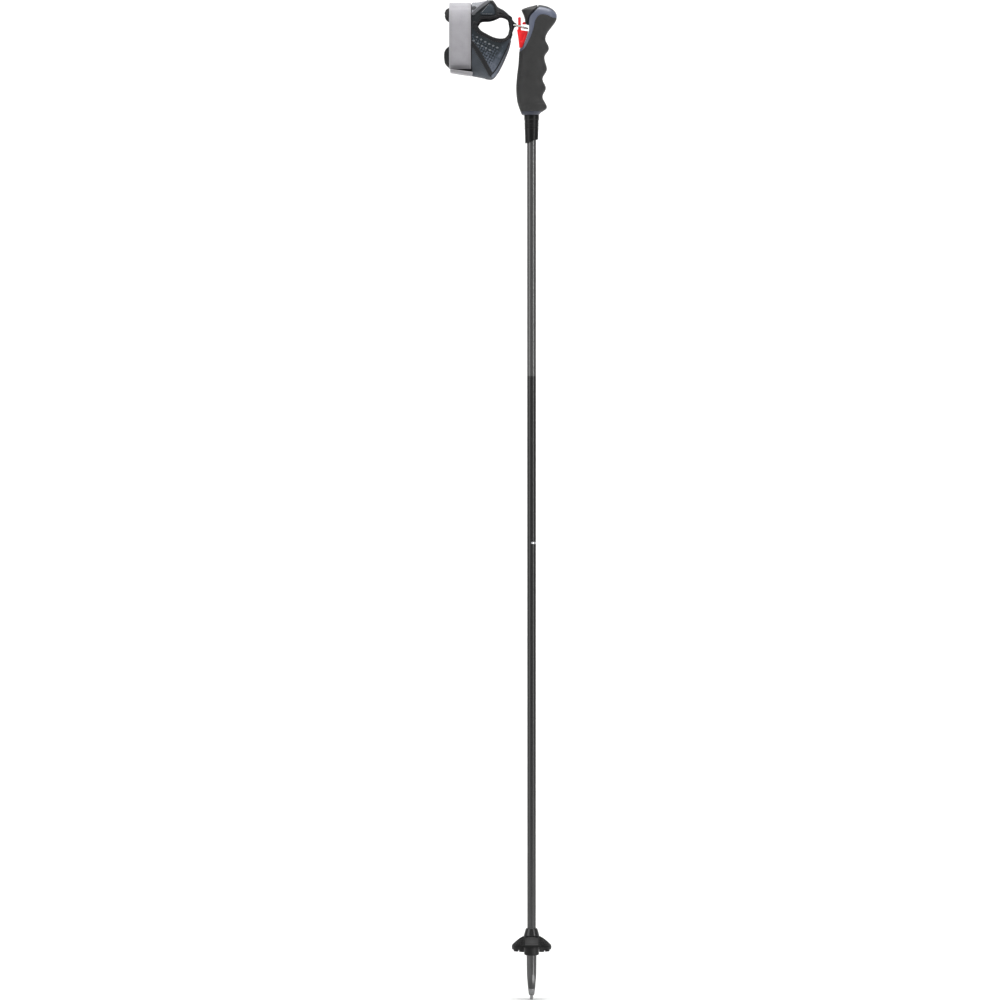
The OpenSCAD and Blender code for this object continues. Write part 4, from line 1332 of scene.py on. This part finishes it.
def tape(name, stations, path, width, material, thick=0.9, lift=0.25, replaces=()):
    """A tape sewn on both sides of a panel along a path in the side view."""
    bands = [flat_band(*side_line(stations, path, side, lift, 0.9), width, thick, 0.1) for side in (-1, 1)]
    return banded(name, bands, material, replaces)


def patch(name, stations, outline, thick, material):
    """A sewn-on patch with a raised middle, on both sides of a panel."""
    parts, flat, puff = [], [], 0.4
    ring = [Vector(p) for p in rounded(outline, 1.6, 4)]
    middle = sum(ring, Vector((0, 0))) / len(ring)
    levels = (
        (1, -0.4), (1, thick * 0.6), (0.97, thick), (0.9, thick), (0.86, thick * 0.75),
        (0.8, thick + puff * 0.6), (0.6, thick + puff), (0.35, thick + puff * 1.1),
        (0.08, thick + puff * 1.1)
    )
    for side in (-1, 1):
        rings = []
        for share, lift in levels:
            spots = [middle.lerp(p, share) for p in ring]
            rings.append([tuple(on_panel(stations, p.x, p.y, side, lift)[0]) for p in spots])
            flat += [(p.x, p.y) for p in spots]
        parts.append(skin(rings))
    obj = piece(name, joined(parts), "hand_strap", material, (), 50)
    cloth_uv(obj, flat)
    return obj


def sewn(name, rows, thread):
    """One piece of the hand strap from rows of stitches."""
    return piece(name, joined(rows), "hand_strap", thread, (), 80)


def stitch(start, end, up, r):
    """One stitch: a short thread that dips into the cloth at both ends."""
    path = [start.lerp(end, t) + up * (0.3 * math.sin(math.pi * t) - 0.12) for t in steps(0, 1, 5)]
    return tube(path, r, up, sides=5)


def stitches(line, ups, length, gap, r):
    """A row of stitches along a line."""
    fine = 0.25
    dense = even(line, fine)
    pitch, reach = max(2, round((length + gap) / fine)), round(length / fine)
    made = []
    for i in range(0, len(dense) - reach, pitch):
        at = min(len(ups) - 1, round(i / len(dense) * (len(ups) - 1)))
        made.append(stitch(dense[i], dense[i + reach], ups[at].normalized(), r))
    return made


def panel_stitches(name, stations, rows, material, lift, length=1.7, gap=0.9, r=0.2):
    """Rows of stitches on both sides of a panel."""
    parts = []
    for path in rows:
        for side in (-1, 1):
            parts += stitches(*side_line(stations, path, side, lift, 0.8), length, gap, r)
    return sewn(name, parts, material)


LOWER_TAPE = [(-72.5, 1153), (-63.6, 1140.5), (-56.9, 1129.1), (-49.2, 1115.5)]
UPPER_TAPE = [(-51.2, 1203.4), (-63.6, 1193.4), (-71, 1186.2)]
LOWER_LINE = [(-27.2, 1153.5), (-31.9, 1143), (-37.6, 1131.2), (-43.8, 1120.6), (-50, 1113.6)]


def beside(path, x, z):
    """Whether a point lies to the left of a path in the side view."""
    def away(ends):
        return (Vector(ends[0]).lerp(Vector(ends[1]), 0.5) - Vector((x, z))).length

    (ax, az), (bx, bz) = min(zip(path, path[1:]), key=away)
    return (bx - ax) * (z - az) - (bz - az) * (x - ax) < 0


def make_panels():
    """The two panels; each changes its cloth at its seam tape."""
    lower = make_panel(
        "lower_hand_panel", LOWER, [lower_cloth, lower_mesh], "strap_lower",
        lambda p: 1 if beside(LOWER_TAPE, p.x, p.z) else 0)
    upper = make_panel(
        "upper_hand_panel", UPPER, [upper_cloth, vent_mesh], "strap_upper",
        lambda p: 1 if beside(UPPER_TAPE, p.x, p.z) and p.x < -52 else 0)
    return lower, upper


def shifted(path, dx, dz):
    """A path moved sideways in the side view."""
    return [(x + dx, z + dz) for x, z in path]


def perforations():
    """Two rows of pale eyelets below the thumb hole."""
    half_w, half_h, sag = 1.35, 1.05, 0.8
    rows = [((-65.6, 1159.2), (-41.4, 1147.2), 6), ((-69.6, 1154.9), (-50.2, 1144), 5)]
    levels = ((1, -0.3), (1, 0.22), (0.85, 0.38), (0.62, 0.3), (0.5, 0.02), (0.1, -0.05))
    angles = steps(0, 2 * math.pi, 18)[:-1]

    def eyelet(x, z, side):
        return skin([
            [
                tuple(on_panel(
                    LOWER, x + half_w * share * math.cos(a), z + half_h * share * math.sin(a), side, lift)[0])
                for a in angles
            ]
            for share, lift in levels
        ])

    parts = []
    for (x0, z0), (x1, z1), count in rows:
        for t in steps(0, 1, count - 1):
            x, z = mix(x0, x1, t), mix(z0, z1, t) - sag * math.sin(math.pi * t)
            parts += [eyelet(x, z, side) for side in (-1, 1)]
    return piece("lower_eyelets", joined(parts), "hand_strap", perforated_pale, (), 60)


def lower_trim():
    """What is sewn on the palm panel."""
    made = [
        tape("lower_seam_tape", LOWER, LOWER_TAPE, 5.6, grey_tape, replaces=["seam_tape"]),
        tape("lower_edge_line", LOWER, LOWER_LINE, 1.7, binding_tape, 1.1, 0.2),
        perforations(),
        panel_stitches(
            "lower_seam_stitches", LOWER,
            [shifted(LOWER_TAPE, 1.7, 1.2), shifted(LOWER_TAPE, -1.7, -1.2)],
            dark_stitch, 0.75),
    ]
    gap, sides, radius = 0.8, 14, 1.15
    ridge = even(curve([Vector((s[2], 0, s[3])) for s in LOWER[2:]], 8), gap)
    piping = tube(
        ridge, lambda t: radius * min(1, 4 * t + 0.4, 4 * (1 - t) + 0.4), (0, 1, 0), sides=sides)
    obj = piece(
        "lower_ridge_piping", piping, "hand_strap", ridge_piping, ["edge_piping"], 60)
    cloth_uv(obj, [(k % sides * 0.5, k // sides * gap) for k in range(len(obj.data.vertices))])
    return made + [obj]


def upper_trim():
    """What is sewn on the panel over the back of the hand."""
    frame_path = [(-48.8, 1204.2), (-44.6, 1199), (-42.2, 1192.5), (-41.6, 1186.6)]
    arm = [(-42, 1192), (-38.4, 1191.6), (-33.6, 1189.4), (-28.6, 1185.6)]
    pocket = [
        (-51.4, 1200.6), (-61.8, 1188.6), (-60.4, 1186.4), (-45.2, 1186.8), (-44.6, 1190), (-46.6, 1198)
    ]
    return [
        tape("upper_seam_tape", UPPER, UPPER_TAPE, 3.4, seam_grey),
        tape(
            "upper_pale_piping", UPPER, shifted(UPPER_TAPE, -1.5, 1.5), 1.1,
            pale_piping, 1.2, 0.35),
        patch("upper_pocket", UPPER, pocket, 0.5, pocket_cloth),
        tape("upper_frame_tape", UPPER, frame_path, 3.6, binding_tape),
        tape("upper_arm_tape", UPPER, arm, 4.2, binding_tape, 1.0, 0.3),
        panel_stitches(
            "upper_arm_stitches", UPPER,
            [shifted(arm, 0.2, 1.3), shifted(arm, -0.2, -1.3), shifted(frame_path, 1.1, 0.3)],
            dark_stitch, 0.85, 1.3, 0.9, 0.18),
        panel_stitches(
            "upper_pocket_stitches", UPPER,
            [[(-52, 1199), (-60.8, 1188.4)], [(-59.6, 1187.4), (-46.4, 1187.7)]],
            grey_stitch, 0.62, 1.5, 0.8, 0.17),
    ]


def hole_frame(line, i):
    """The binding at point i of the hole's edge: its outward direction, and its half-thickness."""
    before, after = line[i - 1], line[(i + 1) % len(line)]
    along = Vector((after[0] - before[0], after[1] - before[1])).normalized()
    return Vector((along.y, -along.x)), PANEL_T / 2 + 0.42 - 0.45 * clamp((9 - line[i][2]) / 4)


def hole_point(p, out, reach, y, side):
    """A point beside the hole's edge: reach outwards in the side view, and y off the cloth's middle."""
    return Vector((p[0] + out.x * reach, side * (p[2] - PANEL_T / 2 + y), p[1] + out.y * reach))


def make_binding():
    """Folded black tape round both thumb holes: x, z, y of the hole's edge, and the tape's reach."""
    edge = [
        (-65.5, 1172, 27.5, 5.6), (-61, 1166.6, 26.5, 5.4), (-55, 1163.2, 25, 5.2), (-46.8, 1159.3, 22, 5.2),
        (-39.5, 1157.9, 18, 4.6), (-32.1, 1158.9, 13, 3.6), (-27.6, 1164, 8, 2.4), (-25.4, 1169, 5, 1.4),
        (-25.6, 1175, 5, 1.3), (-26.8, 1180, 5.2, 1.5), (-28.7, 1182.7, 6, 2), (-33.3, 1185, 8, 2.4),
        (-38.1, 1186, 11, 2.6), (-43.4, 1184, 17, 2.8), (-50.9, 1182.1, 20, 2.8), (-61, 1181.5, 24, 3.2),
        (-65.5, 1175.5, 27, 5.2), (-67, 1173.8, 27.4, 5.4)
    ]
    line = curve(edge, 10, closed=True)
    parts, flat, rows = [], [], []
    for side in (-1, 1):
        rings, seam, run = [], [], 0.0
        for i, p in enumerate(line):
            out, h = hole_frame(line, i)
            reach = p[3]
            profile = [
                (-0.7, 0), (-0.5, 0.65 * h), (0, h), (reach * 0.5, h + 0.12), (reach - 0.4, h - 0.02),
                (reach, h - 0.4), (reach, 0.4 - h), (reach - 0.4, -h), (0, -h), (-0.5, -0.65 * h)
            ]
            run += (Vector(p[:2]) - Vector(line[i - 1][:2])).length if i else 0
            flat += [(o + y, run) for o, y in profile]
            rings.append([tuple(hole_point(p, out, o, y, side)) for o, y in profile])
            seam.append(hole_point(p, out, max(0.8, reach - 1.1), h, side))
        parts.append(skin(rings, closed=True))
        rows += stitches(seam + seam[:1], [Vector((0, side, 0))] * (len(seam) + 1), 1.5, 0.9, 0.17)
    obj = piece(
        "thumb_hole_binding", joined(parts), "hand_strap", binding_tape,
        ["thumb_binding"], 50)
    cloth_uv(obj, flat)
    return [obj, sewn("thumb_hole_stitches", rows, dark_stitch)]


def make_anchor():
    """The sewn end of the strap, folded round the cord."""
    body = [
        (-23.4, 1184.9), (-26.4, 1187.6), (-29.4, 1182.9), (-27.4, 1177.6), (-26.8, 1171.4), (-28.3, 1164.6),
        (-25.2, 1157.6), (-22.9, 1164), (-23.4, 1172), (-23.2, 1179)
    ]
    neck = [(-20.4, 1178.7), (-26.6, 1186.8), (-28, 1178), (-26, 1166), (-22.6, 1167.6), (-20.6, 1173.3)]
    seam = [(-26.6, 1184.6), (-25.4, 1178), (-25, 1171.5), (-25.4, 1164), (-25.1, 1160)]
    half_w, neck_half_w = 4.5, 2.1
    obj = make_object("strap_anchor", *side_prism(body, -half_w, half_w))
    cut(obj, side_prism(neck, -neck_half_w, neck_half_w), "UNION")
    cut(obj, cross_cylinder(STRAP_EYE, 2.7, neck_half_w), "UNION")
    cut(obj, cross_cylinder(STRAP_EYE, 1.45, WIDE))
    moulded(obj, 0.3, 5)
    finish_piece(obj, "hand_strap", binding_tape, ["loop_anchor"], 70)
    cloth_uv(obj, [(v.co.y / MM, v.co.z / MM) for v in obj.data.vertices])
    rows = []
    for side in (-1, 1):
        for x_shift in (-0.9, 0.9):
            line = [Vector((x + x_shift, side * (half_w - 0.05), z)) for x, z in seam]
            rows += stitches(curve(line, 6), [Vector((0, side, 0))], 1.2, 0.8, 0.17)
    sewn("strap_anchor_stitches", rows, dark_stitch)


# ---- wrist cuff and closure -----------------------------------------------------------------

CUFF_MID, CUFF_TOP, CUFF_LOW, CUFF_HALF_W, CUFF_T = 1168, 1201.4, 1117, 26, 4.6
CUFF_X0, CUFF_X1 = -98.4, -72
UPPER_LOBE, LOWER_LOBE = (-97.3, 1188.3, 8.5), (-91.9, 1136.8, 15.1)
WEBBING_X, WEBBING_W, PATCH_T, WEBBING_T = -99.4, 26.3, 0.8, 0.9


def cuff_reach(up):
    """Height of the cuff's outline above its middle, or below it."""
    return CUFF_TOP - CUFF_MID if up >= 0 else CUFF_MID - CUFF_LOW


def cuff_point(a, grow):
    """y and z of the cuff's outline at angle a, grown outwards."""
    y = (CUFF_HALF_W + grow) * signed_pow(math.cos(a), 2 / WEB_POWER)
    reach = cuff_reach(math.sin(a)) + grow
    return y, CUFF_MID + reach * signed_pow(math.sin(a), 2 / WEB_POWER)


def cuff_grow(y, z):
    """How far outside the cuff's outline a point lies, in millimetres, less than 0 inside."""
    parts = (abs(y) / CUFF_HALF_W, abs(z - CUFF_MID) / cuff_reach(z - CUFF_MID))
    share = sum(part**WEB_POWER for part in parts) ** (1 / WEB_POWER)
    return (share - 1) * math.hypot(y, z - CUFF_MID) / max(share, 1e-6)


def edge_depth(x, z):
    """Distance from the cuff's left-hand edge, with its two lobes, in the side view."""
    lobes = [r - math.hypot(x - cx, z - cz) for cx, cz, r in (UPPER_LOBE, LOWER_LOBE)]
    return max(x - CUFF_X0, *lobes)


def inflate(obj, pressure, cap):
    """Blows the closed cloth up a little, with no point moving further than cap millimetres."""
    before = [v.co.copy() for v in obj.data.vertices]
    step, frames = obj.modifiers.new("Cloth", "CLOTH"), 20
    step.settings.quality = 6
    step.settings.tension_stiffness = 12
    step.settings.compression_stiffness = 12
    step.settings.bending_stiffness = 1.5
    step.settings.use_pressure = True
    step.settings.uniform_pressure_force = pressure
    step.settings.effector_weights.gravity = 0
    step.point_cache.frame_start, step.point_cache.frame_end = 1, frames
    for f in range(1, frames + 1):
        scene.frame_set(f)
    settle(obj)
    scene.frame_set(1)
    for v, start in zip(obj.data.vertices, before):
        move = v.co - start
        if move.length > cap * MM:
            v.co = start + move.normalized() * cap * MM


def cuff_blank():
    """The cuff before it is padded: a closed band, cut to its outline with the two lobes."""
    inset, far_left, right = 0.7, -110, CUFF_X1 + 2
    corners = (
        (far_left, -inset), (right, -inset), (right, inset - CUFF_T), (far_left, inset - CUFF_T))
    rings = [[(x, *cuff_point(a, grow)) for a in turns(96)] for x, grow in corners]
    obj = make_object("wrist_cuff_pad", *skin(rings, closed=True))
    left = CUFF_X0 + inset
    outline = make_object(
        "side", *side_prism([(left, 1100), (-60, 1100), (-60, 1220), (left, 1220)], -WIDE, WIDE))
    for cx, cz, r in (UPPER_LOBE, LOWER_LOBE):
        cut(outline, cross_cylinder((cx, cz), r - inset, WIDE + 1, 72), "UNION")
    combine(obj, outline, "INTERSECT")
    return obj


def hold_cuff(p):
    """Keeps a point of the cuff within its box, and under the webbing and the panels."""
    p.x = clamp(p.x, -107.0, CUFF_X1 + 1.8)
    limit = -0.15 if p.x > WEBBING_X - 0.6 else 0.5
    limit = mix(limit, -1.4, clamp(p.x - CUFF_X1 + 0.6))
    grown = cuff_grow(p.y, p.z)
    if grown > limit:
        span = math.hypot(p.y, p.z - CUFF_MID)
        share = (span - grown + limit) / span
        p.y, p.z = p.y * share, CUFF_MID + (p.z - CUFF_MID) * share
    return p


def make_cuff():
    """The padded cuff: a closed pad shaped by cloth pressure, then quilted along its edge."""
    obj = cuff_blank()
    moulded(obj, 1.5, 2)
    inflate(obj, 4, 1.1)
    step = obj.modifiers.new("fine", "SUBSURF")
    step.levels = 1
    settle(obj)

    def quilt(p, normal):
        seam = 0.75 * math.exp(-((edge_depth(p.x, p.z) - 3.6) / 0.55) ** 2)
        return normal * (wrinkle(p, 6, 0.25) - seam)

    shift_points(obj, quilt)
    for v in obj.data.vertices:
        v.co = hold_cuff(v.co / MM) * MM
    finish_piece(obj, "hand_strap", cuff_cloth, ["wrist_cuff"], 70)
    spots = [v.co / MM for v in obj.data.vertices]
    cloth_uv(obj, [(p.x, 36 * math.atan2(p.z - CUFF_MID, p.y)) for p in spots])
    return obj


def angle_at(z, grow):
    """Angle of the cuff's outline, above or below its middle, at the height z."""
    share = clamp(abs(z - CUFF_MID) / (cuff_reach(z - CUFF_MID) + grow))
    return math.copysign(math.asin(share ** (WEB_POWER / 2)), z - CUFF_MID)


def cuff_line(x, start, end, grow, count):
    """An even line round the cuff at x, between two angles; grow(angle, height) is its growth."""
    dense = []
    for t in steps(0, 1, count):
        a = mix(start, end, t)
        dense.append(Vector((x, *cuff_point(a, grow(a, cuff_point(a, 2)[1])))))
    return even(dense, 0.8)


def outward(line):
    """Directions that point out of the cuff, at each point of a line round it."""
    last = len(line) - 1
    ups = [
        Vector((1, 0, 0)).cross(line[min(last, i + 1)] - line[max(0, i - 1)]).normalized()
        for i in range(last + 1)
    ]
    middle = last // 2
    out = Vector((0, line[middle].y, line[middle].z - CUFF_MID))
    return ups if ups[middle].dot(out) > 0 else [-u for u in ups]


def strap_grow(a, z):
    """Growth of the middle of the webbing: it lies on the patches, and elsewhere on the cuff."""
    near = clamp((math.pi / 2 + 0.12 - a) / -0.25)
    over = near * clamp((z - 1123) / 4) * clamp((1196 - z) / 4)
    return mix(0.75, 2 * PATCH_T + WEBBING_T / 2, over)


def make_closure():
    """The adjusting strap over the cuff, with its stitches and the two touch-fastener patches."""
    middle, edge, surface = WEBBING_X + WEBBING_W / 2, WEBBING_W / 2, WEBBING_T / 2 + 0.02
    line = cuff_line(middle, math.pi - angle_at(1121, 2), angle_at(1160, 2), strap_grow, 500)
    ups = outward(line)
    strap = banded(
        "closure_webbing", [flat_band(line, ups, WEBBING_W, WEBBING_T, 0.05)], webbing,
        ["closure_strap"])
    rows = []
    for offset in (edge - 1.5, 1.5 - edge, edge - 3.1, 3.1 - edge):
        seam = [p + Vector((offset, 0, 0)) + u * surface for p, u in zip(line, ups)]
        rows += stitches(seam, ups, 1.7, 0.8, 0.17)
    for at in (3, 6, len(line) - 7, len(line) - 4):
        p, u = line[at], ups[at]
        row = [p + Vector((x, 0, 0)) + u * surface for x in steps(-11, 11, 20)]
        rows += stitches(row, [u], 1.7, 0.8, 0.17)
    thread = sewn("closure_stitches", rows, grey_stitch)
    patches = []
    for kind, low, high, layer, side, pile in (
        ("loop", 1128, 1192, 0.5, 2.5, loop_pile), ("hook", 1134, 1186, 1.5, 3, hook_pile)
    ):
        start, end = math.pi - angle_at(low, 0), math.pi - angle_at(high, 0)
        run = cuff_line(middle, start, end, lambda a, z: PATCH_T * layer, 300)
        band = flat_band(run, outward(run), WEBBING_W - 2 * side, PATCH_T - 0.06)
        patches.append(banded(f"{kind}_pile_patch", [band], pile, [f"{kind}_patch"]))
    return strap, thread, patches


def make_keeper():
    """The folded tab that the free end of the webbing passes through."""
    outline = rounded([(-98.1, 1121), (-70.6, 1117.5), (-71.9, 1113.3), (-98.1, 1117.4)], 1.5, 5)
    near_y, inner_y = -26.8, -3
    obj = make_object("keeper_tab", *side_prism(outline, near_y, inner_y))
    bevelled(obj, 0.8, 4, 50)
    finish_piece(obj, "hand_strap", keeper_webbing, ["strap_keeper"], 50)
    cloth_uv(obj, [((v.co.y + v.co.z) / MM, v.co.x / MM) for v in obj.data.vertices])
    rows = []
    for z_shift in (0.85, -0.85):
        line = [
            Vector((x, near_y - 0.05, mix(1119.2, 1115.5, (x + 97) / 25.5) + z_shift))
            for x in steps(-96.4, -72.8, 12)
        ]
        rows += stitches(line, [Vector((0, -1, 0))], 1.6, 0.8, 0.17)
    sewn("keeper_stitches", rows, grey_stitch)


make_loop()
lower_panel, upper_panel = make_panels()
lower_pieces = lower_trim()
upper_pieces = upper_trim()
binding = make_binding()
make_anchor()
cuff = make_cuff()
closure, closure_thread, piles = make_closure()
make_keeper()


# ---- small metal and plastic nodes that stay as they are ------------------------------------

for node_name, finish in {
    "shaft_end_plug": plug_plastic, "trigger_pin": pin_steel, "button_pin": pin_steel,
    "trigger_spring": spring_steel, "button_spring": spring_steel
}.items():
    nodes[node_name].data.materials.clear()
    nodes[node_name].data.materials.append(finish)
